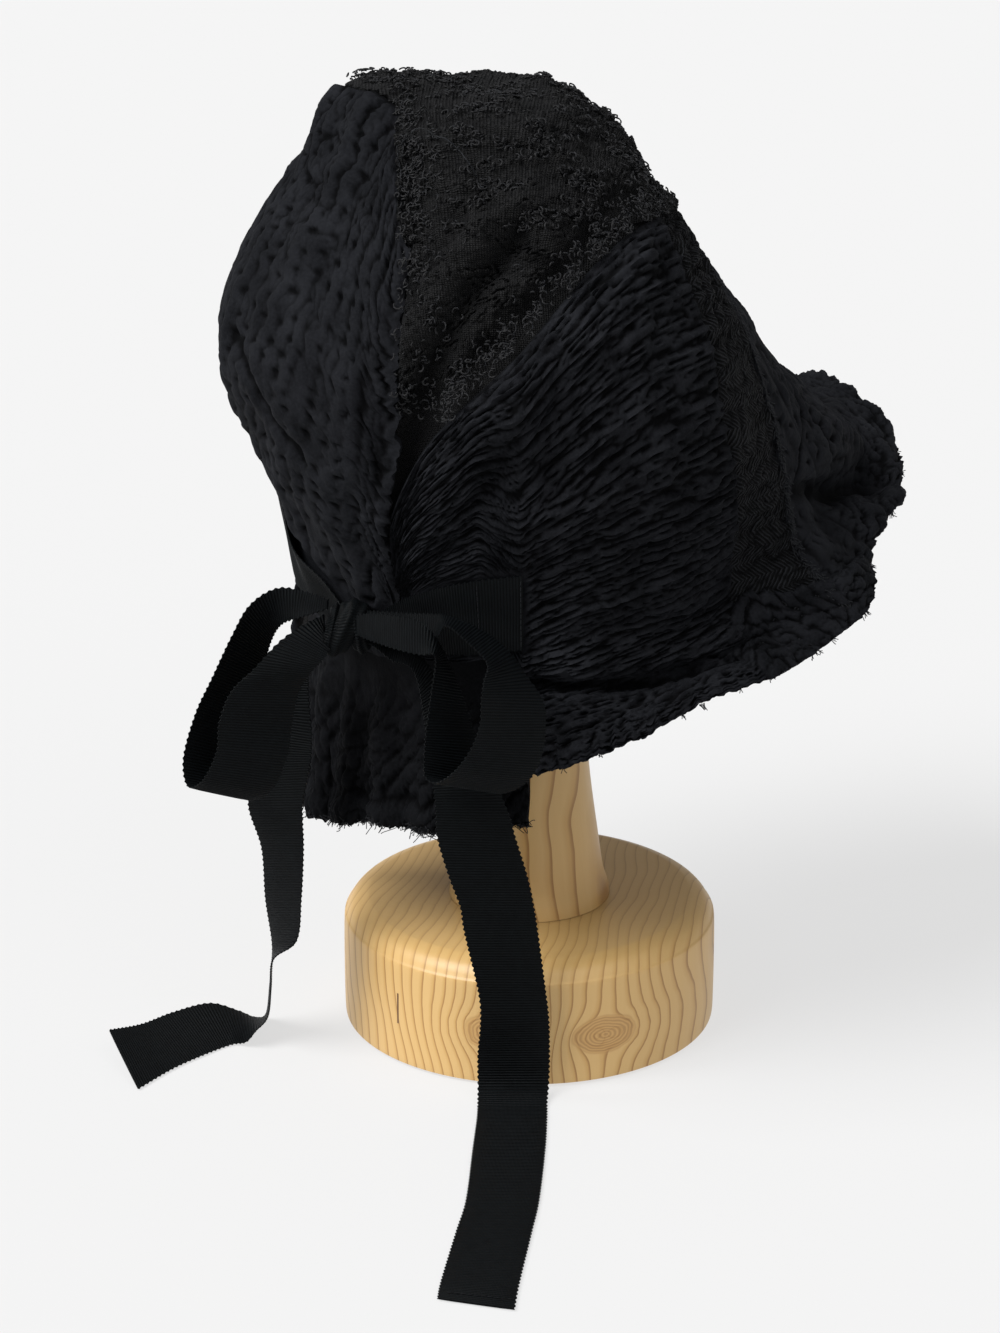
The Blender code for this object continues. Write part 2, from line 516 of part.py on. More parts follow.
def clear_of_knot(points):
    """Columns (across, out, height) with what would lie in the knot moved beside it."""
    points = np.array(points, float)
    scale = np.array([CROWN_REACH, CROWN_REACH, CROWN_TOP - KNOT_DROP * CROWN_DROP])
    away = (points - np.array(KNOT)) * scale
    half = np.array(KNOT_HALF) * CROWN_REACH + 0.5 * RIBBON + GAP
    share = away / half
    reach = np.maximum(np.hypot(share[:, 0], share[:, 1]), 1e-6)
    limit = knot_swell(np.arctan2(share[:, 1], share[:, 0]))
    limit *= np.maximum(1.0 - share[:, 2]**2, 0.0) ** (KNOT_POWER / 2)
    away[:, :2] *= np.maximum(1.0, limit / reach)[:, None]
    return np.array(KNOT) + away / scale


def smooth_line(points, per_span):
    padded = np.vstack([2 * points[0] - points[1], points, 2 * points[-1] - points[-2]])
    out = []
    for i in range(len(points) - 1):
        for k in range(per_span):
            w = weights(k / per_span)
            out.append(sum(w[j] * padded[i + j] for j in range(4)))
    out.append(points[-1])
    return np.array(out)


def ribbon(name, table, per_span=2, columns=3):
    """Ribbon between the two edge lines of a table, one row per station."""
    table = np.array(table)
    first = smooth_line(bow_place(clear_of_knot(table[:, :3])), per_span)
    second = smooth_line(bow_place(clear_of_knot(table[:, 3:])), per_span)
    part = np.linspace(0, 1, columns + 1)
    grid = first[:, None] + (second - first)[:, None] * part[None, :, None]
    rows = len(first) - 1
    middle = grid.reshape(-1, 3)
    normal = grid_normals(middle, rows, columns)
    shell(name, middle + 0.5 * RIBBON * normal, middle - 0.5 * RIBBON * normal,
          grid_faces(rows, columns), BLACK_RIBBON, 0.7)


def knot():
    """Ribbon wrapped round the middle of the bow, with two shallow grooves."""
    rings, count = 9, 18
    centre = bow_place(KNOT)
    turn = math.radians(BOW_TURN)
    points, faces = [], []
    for ring in range(1, rings):
        tall = math.pi * ring / rings
        for k in range(count):
            around = 2 * math.pi * k / count
            swell = knot_swell(around)
            across = KNOT_HALF[0] * math.sin(tall) ** KNOT_POWER * math.cos(around) * swell
            out = KNOT_HALF[1] * math.sin(tall) ** KNOT_POWER * math.sin(around) * swell
            points.append((-math.cos(turn) * across - math.sin(turn) * out,
                           -math.sin(turn) * across + math.cos(turn) * out,
                           KNOT_HALF[2] * math.cos(tall)))
    points = [tuple(centre[i] + p[i] * CROWN_REACH for i in range(3)) for p in points]
    for ring in range(rings - 2):
        for k in range(count):
            a, b = ring * count + k, ring * count + (k + 1) % count
            faces.append((a, b, b + count, a + count))
    faces.append(tuple(range(count))[::-1])
    faces.append(tuple((rings - 2) * count + k for k in range(count)))
    mesh = bmesh.new()
    made = [mesh.verts.new(p) for p in points]
    for face in faces:
        mesh.faces.new([made[i] for i in face])
    add_object("bow_knot", mesh, BLACK_RIBBON, 0.7)


def turned(name, outline, count):
    """Solid of revolution about the stand axis, outline as (radius, height)."""
    mesh = bmesh.new()
    rings = []
    for radius, height in outline:
        rings.append([mesh.verts.new((radius * math.cos(2 * math.pi * k / count),
                                      radius * math.sin(2 * math.pi * k / count), height))
                      for k in range(count)])
    for low, high in zip(rings, rings[1:]):
        for k in range(count):
            mesh.faces.new((low[k], low[(k + 1) % count], high[(k + 1) % count], high[k]))
    mesh.faces.new(rings[0][::-1])
    mesh.faces.new(rings[-1])
    add_object(name, mesh, PINE, 0.55)


def stand():
    head_top = CROWN_TOP - CLOTH - 3 * GAP
    head_middle = head_top - HEAD_HEIGHT
    flat = -HEAD_HEIGHT * math.sqrt(1.0 - HEAD_FLAT**2)
    post_foot = BASE_HEIGHT + GAP
    post_top = head_middle + flat - GAP
    turned("stand_base", [(r * BASE_RADIUS, z * BASE_HEIGHT) for r, z in BASE_OUTLINE], 40)
    turned("stand_post", [(r * BASE_RADIUS, post_foot + z * (post_top - post_foot))
                          for r, z in POST_OUTLINE], 32)
    low = math.acos(flat / HEAD_HEIGHT)
    tilt = np.linspace(low, 0.12, 10)
    turned("stand_head", [(HEAD_RADIUS * math.sin(a), head_middle + HEAD_HEIGHT * math.cos(a))
                          for a in tilt], 22)


remove_everything()
crown_piece()
panel("back_panel", BACK_SEAM_LEFT, BACK_SEAM_RIGHT, 12, 19)
panel("side_panel_right", SIDE_SEAM_BACK, WEAVE_SEAM_BACK, 13, 18)
panel("weave_gore_right", WEAVE_SEAM_BACK, WEAVE_SEAM_FRONT, 4, 18, DARK_CLOTH, 0.9)
panel("front_side_panel_right", WEAVE_SEAM_FRONT, STRIP_SEAM_FRONT, 2, 18)
panel("front_panel", STRIP_SEAM_FRONT, STRIP_SEAM_LEFT, 12, 18)
panel("front_side_panel_left", STRIP_SEAM_LEFT, WEAVE_SEAM_LEFT, 2, 18)
panel("weave_gore_left", WEAVE_SEAM_LEFT, SIDE_SEAM_LEFT, 3, 18, DARK_CLOTH, 0.9)
panel("side_panel_left", SIDE_SEAM_LEFT, BACK_SEAM_LEFT, 9, 18)
nape_curtain()
band("ribbon_band_right", BAND_RIGHT)
band("ribbon_band_left", BAND_LEFT)
knot()
ribbon("bow_loop_right", LOOP_RIGHT)
ribbon("bow_loop_left", LOOP_LEFT)
ribbon("ribbon_tail_right", TAIL_RIGHT)
ribbon("ribbon_tail_left", TAIL_LEFT)
stand()
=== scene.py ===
"""Looks of the patched cloth bonnet on its turned stand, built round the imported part.

Metres, Z up, the front of the hat towards -Y.  The cloth, the ribbons and the stand
repeat the part's own surface functions and tables, and add what the part leaves plain:
wrinkles, stitches, frayed edges, ribbed ribbon, loose threads and wood grain.
"""
import math

import bpy
import numpy as np
from mathutils import Matrix, Vector


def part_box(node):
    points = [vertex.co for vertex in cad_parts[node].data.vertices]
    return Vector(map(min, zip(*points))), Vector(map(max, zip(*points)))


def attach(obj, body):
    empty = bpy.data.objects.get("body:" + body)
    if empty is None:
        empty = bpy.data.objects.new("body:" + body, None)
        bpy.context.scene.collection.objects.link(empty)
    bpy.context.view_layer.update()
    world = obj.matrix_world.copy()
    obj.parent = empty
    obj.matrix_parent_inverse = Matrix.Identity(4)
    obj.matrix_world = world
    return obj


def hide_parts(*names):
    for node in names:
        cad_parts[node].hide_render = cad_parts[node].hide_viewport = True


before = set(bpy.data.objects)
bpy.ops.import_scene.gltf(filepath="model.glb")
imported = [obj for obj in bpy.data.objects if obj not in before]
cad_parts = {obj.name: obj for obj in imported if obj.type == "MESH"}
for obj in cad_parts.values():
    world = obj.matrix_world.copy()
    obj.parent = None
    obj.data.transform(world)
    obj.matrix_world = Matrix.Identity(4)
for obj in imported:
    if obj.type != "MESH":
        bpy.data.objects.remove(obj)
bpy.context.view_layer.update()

CROWN_REACH = 0.120      # stand axis to the back of the crown at its fullest
CROWN_DROP = 0.240       # top of the crown down to the back corners of the brim
CROWN_TOP = 0.381        # top of the crown above the table
CLOTH = 0.0024           # quilted panel cloth
CURTAIN_CLOTH = 0.0018   # nape curtain
RIBBON = 0.0010          # grosgrain ribbon
GAP = 0.0003             # clearance between neighbouring pieces
BASE_RADIUS = 0.075
BASE_HEIGHT = 0.051
HEAD_RADIUS = 0.030      # hidden egg shaped head inside the crown
HEAD_HEIGHT = 0.061      # half of the egg's height
KNOT_DROP = 0.804        # crown top to the middle of the knot, share of CROWN_DROP
BOW_TURN = 55.0          # direction the bow's own axes face, degrees

# Level lines of the hat: reach as a share of CROWN_REACH and drop as a share of
# CROWN_DROP, at the back, back quarter, side, front quarter and front.
#         reach                              drop
LEVELS = (
    (0.000, 0.000, 0.000, 0.000, 0.000,      0.000, 0.000, 0.000, 0.000, 0.000),
    (0.250, 0.250, 0.183, 0.125, 0.117,      0.002, 0.002, 0.008, 0.021, 0.021),
    (0.500, 0.517, 0.350, 0.250, 0.233,      0.013, 0.013, 0.044, 0.086, 0.080),
    (0.700, 0.690, 0.560, 0.360, 0.340,      0.108, 0.110, 0.114, 0.172, 0.160),
    (0.880, 0.855, 0.745, 0.530, 0.500,      0.229, 0.225, 0.229, 0.267, 0.250),
    (1.000, 0.985, 0.883, 0.690, 0.660,      0.383, 0.375, 0.375, 0.375, 0.350),
    (0.900, 0.920, 0.917, 0.800, 0.770,      0.575, 0.567, 0.542, 0.467, 0.450),
    (0.740, 0.830, 0.883, 0.895, 0.930,      0.750, 0.700, 0.667, 0.550, 0.521),
    (0.665, 0.780, 0.830, 0.975, 1.080,      0.871, 0.821, 0.775, 0.625, 0.575),
    (0.700, 0.800, 0.858, 1.060, 1.250,      0.938, 0.896, 0.854, 0.700, 0.604),
    (0.750, 0.842, 0.930, 1.142, 1.433,      0.992, 0.992, 0.900, 0.758, 0.642),
)

# The edge of the brim: direction, reach / CROWN_REACH, drop / CROWN_DROP.
BRIM_EDGE = (
    (0, 0.750, 0.992), (30, 0.795, 0.992), (54, 0.840, 0.998), (60, 0.870, 0.985),
    (66, 0.905, 0.962), (80, 0.915, 0.926), (92, 0.983, 0.876), (105, 1.048, 0.853),
    (114, 1.110, 0.818), (122, 1.142, 0.796), (132, 1.117, 0.771), (142, 1.108, 0.738),
    (152, 1.217, 0.717), (165, 1.325, 0.696), (175, 1.408, 0.663), (182, 1.433, 0.640),
    (190, 1.500, 0.629), (197, 1.560, 0.640), (206, 1.500, 0.675), (216, 1.360, 0.708),
    (228, 1.220, 0.746), (242, 1.150, 0.800), (256, 1.060, 0.858), (270, 0.975, 0.900),
    (286, 0.900, 0.954), (302, 0.850, 0.992), (330, 0.795, 0.992), (360, 0.750, 0.992),
)

# Where the crown piece ends and the panels begin: direction, level.  It starts at
# the foot of the crown piece's tongue and runs once round the hat.
TOP_SEAM = (
    (20, 6.80), (24, 6.55), (27, 6.05), (34, 5.50), (43, 5.05), (52, 4.60), (61, 4.12),
    (70, 3.74), (80, 3.50), (92, 3.38), (120, 3.20), (150, 3.00), (180, 2.90),
    (210, 2.90), (240, 2.85), (270, 2.65), (300, 2.35), (330, 2.10), (360, 2.00),
    (367, 2.10), (374, 2.50), (381, 3.00), (388, 3.60), (395, 3.60),
)

# Where the panels end: direction, level.  Between the bow's two bands they stop at
# the ribbon, elsewhere they run to the brim edge.
FOOT_SEAM = (
    (0, 8.0), (44, 8.0), (48, 8.7), (51, 9.6), (53, 10.0), (308, 10.0), (311, 9.6),
    (315, 8.7), (319, 8.0), (404, 8.0),
)

# The tongue of the crown piece: share down it, level at its left, direction at its
# right.
TONGUE = (
    (0.00, 3.60, 92.0), (0.18, 4.10, 79.0), (0.36, 4.70, 66.0), (0.54, 5.30, 52.0),
    (0.72, 5.80, 38.0), (0.88, 6.25, 29.5), (1.00, 6.52, 25.4),
)

# Seams between the panels: share down the panel, direction.
BACK_SEAM_RIGHT = ((0.0, 387.5), (0.14, 389.2), (0.30, 390.0), (0.42, 389.0),
                   (0.53, 386.4), (0.68, 383.0), (1.0, 381.5))
SIDE_SEAM_BACK = ((0.0, 23.3), (1.0, 21.5))
WEAVE_SEAM_BACK = ((0.0, 92.5), (0.15, 94.0), (0.30, 95.0), (0.43, 98.5), (0.70, 100.5),
                   (1.0, 103.0))
WEAVE_SEAM_FRONT = ((0.0, 122.0), (0.20, 117.5), (0.32, 116.5), (0.52, 118.0), (0.70, 117.5),
                    (0.85, 119.0), (1.0, 121.0))
STRIP_SEAM_FRONT = ((0.0, 127.0), (0.4, 130.0), (0.7, 133.0), (1.0, 138.0))
STRIP_SEAM_LEFT = ((0.0, 233.0), (0.4, 230.0), (0.7, 227.0), (1.0, 222.0))
WEAVE_SEAM_LEFT = ((0.0, 238.0), (0.3, 243.0), (0.52, 242.0), (1.0, 239.0))
SIDE_SEAM_LEFT = ((0.0, 268.0), (0.3, 265.0), (0.6, 260.0), (1.0, 256.0))
BACK_SEAM_LEFT = ((0.0, 322.0), (0.4, 318.0), (0.7, 313.0), (1.0, 311.0))

# Folds, creases and dents: a line from one direction and level to another, its
# half width in levels, and its height as a share of CROWN_REACH (valleys minus).
FOLDS = (
    (35, 5.95, 52, 5.02, 0.28, 0.032),      # turned edge of the side panel
    (52, 5.00, 80, 3.90, 0.24, 0.026),
    (31, 5.45, 48, 4.50, 0.34, -0.030),     # deep fold of the crown piece beside it
    (48, 4.50, 70, 3.45, 0.34, -0.024),
    (384, 6.20, 385, 4.20, 0.30, 0.016),    # ridge of the back panel at its seam
    (352, 6.70, 350, 5.60, 0.22, -0.014),
    (336, 5.70, 342, 6.60, 0.20, 0.020),    # loose second layer at the back left
    (318, 5.70, 330, 6.40, 0.70, -0.085),
    (326, 2.30, 350, 2.10, 0.60, 0.040),    # high back edge of the crown
    (4, 6.60, 8, 5.60, 0.22, 0.012),
    (50, 8.45, 90, 8.85, 0.26, -0.030),     # crease above the rolled brim
    (90, 8.85, 108, 9.00, 0.26, -0.022),
    (56, 9.50, 98, 9.60, 0.34, 0.022),      # rolled brim
    (134, 8.30, 158, 9.20, 0.50, -0.075),   # hollow of the front brim
    (146, 9.75, 176, 9.50, 0.30, 0.030),
    (176, 8.20, 196, 9.40, 0.45, -0.035),
    (206, 8.20, 214, 9.60, 0.45, 0.030),
    (112, 7.60, 122, 9.20, 0.35, 0.022),
    (72, 7.10, 88, 7.50, 0.35, 0.012),
    (52, 6.00, 78, 5.70, 0.30, 0.010),
    (248, 5.40, 262, 7.60, 0.40, -0.022),
    (282, 4.60, 290, 7.40, 0.35, 0.020),
    (302, 8.45, 262, 8.90, 0.28, -0.026),
    (300, 9.50, 256, 9.60, 0.34, 0.020),
    (70, 1.60, 110, 2.10, 0.50, 0.020),     # soft lumps on top of the crown
    (20, 1.50, 350, 1.70, 0.50, 0.012),
    (190, 1.40, 230, 1.60, 0.50, -0.014),
)

# Nape curtain, tucked inside the band: share down and how far it spreads at its
# left end, middle and right end, shares of CROWN_REACH.
CURTAIN_LEFT = 316.0
CURTAIN_RIGHT = 414.0
CURTAIN_PLEATS = 6
CURTAIN_PLEAT_DEPTH = 0.030
CURTAIN = (
    # down, left, middle, right
    (0.00, 0.000, 0.000, 0.000), (0.12, 0.000, 0.000, -0.010),
    (0.30, 0.015, 0.020, -0.050), (0.60, 0.030, 0.050, -0.080),
    (1.00, 0.055, 0.065, -0.100),
)
CURTAIN_LENGTH = (0.465, 0.340, 0.375)   # left, middle, right, shares of CROWN_DROP

# Ribbon bands sewn to the hat: direction, upper level, lower level, and how far the
# upper and the lower edge stand off as shares of CROWN_REACH.  Both lift to the knot.
BAND_RIGHT = ((10.6, 7.40, 7.66, 0.029, 0.029), (15, 7.30, 7.72, 0.012, 0.012),
              (22, 7.14, 7.84, 0.0, 0.0), (32, 6.98, 7.88, 0.0, 0.0),
              (43, 6.86, 7.88, 0.0, 0.0), (53, 6.80, 7.84, 0.0, 0.0))
BAND_LEFT = ((318, 6.78, 7.82, 0.0, 0.0), (330, 6.82, 7.86, 0.035, 0.0),
             (342, 6.94, 7.88, 0.025, 0.0), (354, 7.10, 7.84, 0.008, 0.0),
             (360, 7.30, 7.76, 0.012, 0.012), (367, 7.40, 7.66, 0.040, 0.040))

# Edges of the loose ribbons.  Columns for one edge, then the same for the other:
# across (image right) and out (towards the viewer) as shares of CROWN_REACH, and
# height as a share of the knot's height.
LOOP_RIGHT = (
    (-0.524, 0.575, 1.028, -0.525, 0.583, 0.990), (-0.486, 0.642, 1.045, -0.486, 0.658, 1.002),
    (-0.382, 0.717, 1.057, -0.382, 0.750, 1.017), (-0.301, 0.792, 1.072, -0.294, 0.825, 1.034),
    (-0.251, 0.825, 1.075, -0.262, 0.925, 1.079), (-0.154, 0.850, 1.052, -0.198, 0.967, 1.056),
    (-0.078, 0.883, 1.020, -0.138, 1.008, 1.022), (-0.020, 0.917, 0.974, -0.147, 1.042, 0.991),
    (0.031, 0.942, 0.927, -0.153, 1.050, 0.957), (0.038, 0.950, 0.877, -0.159, 1.042, 0.899),
    (0.026, 0.942, 0.816, -0.190, 1.025, 0.843), (-0.010, 0.925, 0.762, -0.239, 1.008, 0.796),
    (-0.075, 0.892, 0.726, -0.292, 0.958, 0.762), (-0.124, 0.842, 0.719, -0.329, 0.908, 0.764),
    (-0.152, 0.825, 0.777, -0.329, 0.900, 0.812), (-0.182, 0.817, 0.838, -0.322, 0.892, 0.858),
    (-0.216, 0.817, 0.911, -0.306, 0.892, 0.939), (-0.255, 0.825, 0.978, -0.294, 0.875, 0.989),
    (-0.291, 0.850, 1.033, -0.302, 0.908, 1.018), (-0.342, 0.842, 1.066, -0.342, 0.875, 1.010),
    (-0.410, 0.800, 1.069, -0.411, 0.825, 1.009), (-0.490, 0.717, 1.057, -0.490, 0.733, 1.005),
    (-0.542, 0.650, 1.038, -0.542, 0.650, 1.000),
)
LOOP_LEFT = (
    (-0.636, 0.533, 1.045, -0.635, 0.558, 1.033), (-0.711, 0.467, 1.048, -0.724, 0.500, 1.003),
    (-0.800, 0.450, 1.051, -0.784, 0.450, 0.979), (-0.885, 0.467, 1.019, -0.820, 0.383, 0.936),
    (-0.944, 0.475, 0.954, -0.847, 0.350, 0.881), (-1.007, 0.483, 0.869, -0.869, 0.350, 0.802),
    (-1.063, 0.492, 0.793, -0.896, 0.367, 0.723), (-1.104, 0.508, 0.701, -0.921, 0.417, 0.648),
    (-1.090, 0.550, 0.651, -0.911, 0.500, 0.610), (-1.036, 0.617, 0.679, -0.829, 0.567, 0.644),
    (-0.987, 0.642, 0.748, -0.775, 0.583, 0.720), (-0.975, 0.650, 0.814, -0.757, 0.583, 0.791),
    (-0.935, 0.650, 0.878, -0.732, 0.600, 0.864), (-0.858, 0.650, 0.929, -0.691, 0.633, 0.916),
    (-0.786, 0.633, 0.978, -0.652, 0.650, 0.946), (-0.712, 0.600, 1.006, -0.631, 0.633, 0.967),
    (-0.647, 0.558, 1.020, -0.647, 0.575, 0.986),
)
TAIL_RIGHT = (
    (-0.532, 0.567, 0.982, -0.531, 0.592, 0.975), (-0.485, 0.600, 0.979, -0.484, 0.642, 0.969),
    (-0.425, 0.650, 0.971, -0.434, 0.683, 0.953), (-0.334, 0.725, 0.963, -0.358, 0.758, 0.937),
    (-0.161, 0.770, 0.778, -0.315, 0.782, 0.762), (-0.083, 0.767, 0.662, -0.298, 0.808, 0.672),
    (-0.052, 0.763, 0.592, -0.293, 0.803, 0.606), (-0.014, 0.750, 0.504, -0.256, 0.800, 0.518),
    (0.006, 0.750, 0.438, -0.222, 0.778, 0.448), (0.018, 0.733, 0.382, -0.210, 0.767, 0.390),
    (0.045, 0.700, 0.236, -0.166, 0.758, 0.254), (0.055, 0.700, 0.176, -0.159, 0.750, 0.188),
    (0.058, 0.690, 0.092, -0.168, 0.706, 0.096), (0.056, 0.692, 0.026, -0.168, 0.700, 0.028),
    (0.050, 0.752, 0.003, -0.168, 0.758, 0.003), (0.048, 0.860, 0.001, -0.170, 0.860, 0.001),
    (0.040, 1.070, 0.001, -0.182, 1.070, 0.001), (0.018, 1.400, 0.001, -0.200, 1.400, 0.001),
    (-0.006, 1.600, 0.001, -0.228, 1.600, 0.001), (-0.045, 1.906, 0.001, -0.268, 1.890, 0.001),
    (-0.060, 2.060, 0.001, -0.278, 2.000, 0.001),
)
TAIL_LEFT = (
    (-0.637, 0.542, 0.990, -0.637, 0.558, 0.975), (-0.679, 0.467, 0.953, -0.671, 0.517, 0.945),
    (-0.765, 0.425, 0.894, -0.702, 0.483, 0.890), (-0.840, 0.392, 0.810, -0.707, 0.483, 0.832),
    (-0.863, 0.383, 0.732, -0.700, 0.483, 0.739), (-0.889, 0.367, 0.639, -0.709, 0.483, 0.673),
    (-0.913, 0.350, 0.557, -0.734, 0.467, 0.588), (-0.876, 0.317, 0.452, -0.735, 0.450, 0.486),
    (-0.870, 0.283, 0.328, -0.745, 0.450, 0.374), (-0.855, 0.250, 0.224, -0.764, 0.433, 0.274),
    (-0.858, 0.233, 0.170, -0.842, 0.417, 0.226), (-0.868, 0.203, 0.108, -0.852, 0.413, 0.158),
    (-0.890, 0.120, 0.012, -0.870, 0.330, 0.068), (-0.930, 0.122, 0.004, -0.910, 0.346, 0.040),
    (-0.986, 0.125, 0.020, -0.945, 0.330, 0.010), (-1.079, 0.136, 0.040, -0.995, 0.320, 0.001),
    (-1.195, 0.206, 0.040, -1.079, 0.395, 0.001), (-1.292, 0.304, 0.042, -1.175, 0.500, 0.001),
    (-1.388, 0.408, 0.060, -1.275, 0.648, 0.001),
)
KNOT = (-0.580, 0.575, 0.997)      # middle of the knot, same three columns
KNOT_HALF = (0.060, 0.071, 0.090)  # its half sizes, shares of CROWN_REACH
KNOT_RIPPLE = 0.05                 # ripple of its wraps, share of its size
KNOT_POWER = 0.7                   # how full its shoulders are

# Turned outlines of the stand.
BASE_OUTLINE = ((0.940, 0.000), (0.985, 0.030), (1.000, 0.090), (1.000, 0.760),
                (0.985, 0.870), (0.945, 0.950), (0.880, 0.992), (0.840, 1.000))
POST_OUTLINE = ((0.433, 0.000), (0.420, 0.022), (0.395, 0.052), (0.368, 0.117),
                (0.324, 0.232), (0.293, 0.350), (0.273, 0.490), (0.267, 1.000))
HEAD_FLAT = 0.55                   # bottom flat of the egg, share of HEAD_RADIUS


def weights(x):
    """Smooth interpolation weights of the four points round a place between two."""
    return (0.5 * (-x + 2 * x**2 - x**3), 0.5 * (2 - 5 * x**2 + 3 * x**3),
            0.5 * (x + 4 * x**2 - 3 * x**3), 0.5 * (x**3 - x**2))


def level_lines(direction, level):
    """Reach and drop shares of the plain hat without folds or brim edge."""
    table = np.array(LEVELS)
    turn = np.mod(direction, 360.0) / 45.0
    step, x = np.floor(turn).astype(int), turn - np.floor(turn)
    row = np.clip(np.floor(level).astype(int), 0, len(LEVELS) - 2)
    y = level - row
    reach, drop = np.zeros_like(turn), np.zeros_like(turn)
    for j, wy in enumerate(weights(y)):
        at = row + j - 1
        mirrored = at < 0
        at = np.clip(np.abs(at), 0, len(LEVELS) - 1)
        for i, wx in enumerate(weights(x)):
            side = np.mod(step + i - 1, 8)
            side = np.where(side > 4, 8 - side, side)
            reach += wx * wy * np.where(mirrored, -1.0, 1.0) * table[at, side]
            drop += wx * wy * table[at, side + 5]
    return reach, drop


def along(rows, column, at):
    """A table's column read smoothly, without overshoot, by its first column."""
    table = np.array(rows, float)
    x, y = table[:, 0], table[:, column]
    rise = np.diff(y) / np.diff(x)
    slope = np.zeros_like(y)
    before, after = rise[:-1], rise[1:]
    rising = before * after > 0
    slope[1:-1][rising] = 2 * before[rising] * after[rising] / (before + after)[rising]
    slope[0], slope[-1] = rise[0], rise[-1]
    i = np.clip(np.searchsorted(x, at) - 1, 0, len(x) - 2)
    h = x[i + 1] - x[i]
    u = np.clip((at - x[i]) / h, 0.0, 1.0)
    return ((1 + 2 * u) * (1 - u)**2 * y[i] + u * (1 - u)**2 * h * slope[i]
            + u**2 * (3 - 2 * u) * y[i + 1] - u**2 * (1 - u) * h * slope[i + 1])


def smooth_step(x):
    x = np.clip(x, 0.0, 1.0)
    return x * x * (3 - 2 * x)


def plain_point(direction, level):
    reach, drop = level_lines(direction, level)
    around = np.mod(direction, 360.0)
    edge_reach, edge_drop = level_lines(direction, np.full_like(level, 10.0))
    near_edge = smooth_step((level - 7.6) / 2.4)
    reach = reach + near_edge * (along(BRIM_EDGE, 1, around) - edge_reach)
    drop = drop + near_edge * (along(BRIM_EDGE, 2, around) - edge_drop)
    angle = np.radians(direction)
    return np.stack([-np.sin(angle) * reach * CROWN_REACH,
                     np.cos(angle) * reach * CROWN_REACH,
                     CROWN_TOP - drop * CROWN_DROP], -1)


def relief(direction, level):
    """Height of the folds above the plain hat."""
    total = np.zeros_like(level)
    for d0, l0, d1, l1, width, height in FOLDS:
        mid = 0.5 * (d0 + d1) if abs(d1 - d0) < 180 else 0.5 * (d0 + d1) - 180
        turn = np.mod(direction - mid + 180.0, 360.0) - 180.0
        half = 0.5 * (np.mod(d1 - d0 + 180.0, 360.0) - 180.0) / 15.0
        ax, ay = 2 * half, l1 - l0
        px, py = turn / 15.0 + half, level - l0
        share = np.clip((px * ax + py * ay) / (ax**2 + ay**2), 0.0, 1.0)
        away = np.hypot(px - share * ax, py - share * ay)
        total += height * np.exp(-(away / width)**2)
    return total * CROWN_REACH


def with_normal(function, direction, level):
    step_d, step_l = 0.25, 0.01
    across = function(direction + step_d, level) - function(direction - step_d, level)
    down = function(direction, level + step_l) - function(direction, level - step_l)
    normal = np.cross(down, across)
    length = np.linalg.norm(normal, axis=-1, keepdims=True)
    return normal / np.maximum(length, 1e-12)


def hat_point(direction, level):
    """A point on the outside of the hat."""
    place = plain_point(direction, level)
    return place + with_normal(plain_point, direction, level) * relief(direction, level)[..., None]


def hat_normal(direction, level):
    return with_normal(hat_point, direction, level)


def lerp_level(direction, share):
    around = np.where(direction < 21.0, direction + 360.0, direction)
    top = along(TOP_SEAM, 1, around) + 0.034
    foot = along(FOOT_SEAM, 1, direction)
    return top + (foot - top) * share


def left_edge(level):
    """Direction of the crown tongue's left side, along the back panel."""
    return along(BACK_SEAM_RIGHT, 1, (level - 3.6) / (8.0 - 3.6)) - 360.0


def bow_place(table):
    """Bow columns (across, out, height) turned into metres in the hat's frame."""
    table = np.asarray(table, float)
    turn = math.radians(BOW_TURN)
    across, out = table[..., 0] * CROWN_REACH, table[..., 1] * CROWN_REACH
    knot_height = CROWN_TOP - KNOT_DROP * CROWN_DROP
    return np.stack([-math.cos(turn) * across - math.sin(turn) * out,
                     -math.sin(turn) * across + math.cos(turn) * out,
                     0.6 * RIBBON + table[..., 2] * knot_height], -1)


def knot_swell(around):
    return 1.0 - KNOT_RIPPLE * np.cos(3 * around)


def clear_of_knot(points):
    """Columns (across, out, height) with what would lie in the knot moved beside it."""
    points = np.array(points, float)
    scale = np.array([CROWN_REACH, CROWN_REACH, CROWN_TOP - KNOT_DROP * CROWN_DROP])
    away = (points - np.array(KNOT)) * scale
    half = np.array(KNOT_HALF) * CROWN_REACH + 0.5 * RIBBON + GAP
    share = away / half
    reach = np.maximum(np.hypot(share[:, 0], share[:, 1]), 1e-6)
    limit = knot_swell(np.arctan2(share[:, 1], share[:, 0]))
    limit *= np.maximum(1.0 - share[:, 2]**2, 0.0) ** (KNOT_POWER / 2)
    away[:, :2] *= np.maximum(1.0, limit / reach)[:, None]
    return np.array(KNOT) + away / scale


def smooth_line(points, per_span):
    padded = np.vstack([2 * points[0] - points[1], points, 2 * points[-1] - points[-2]])
    out = []
    for i in range(len(points) - 1):
        for k in range(per_span):
            w = weights(k / per_span)
            out.append(sum(w[j] * padded[i + j] for j in range(4)))
    out.append(points[-1])
    return np.array(out)


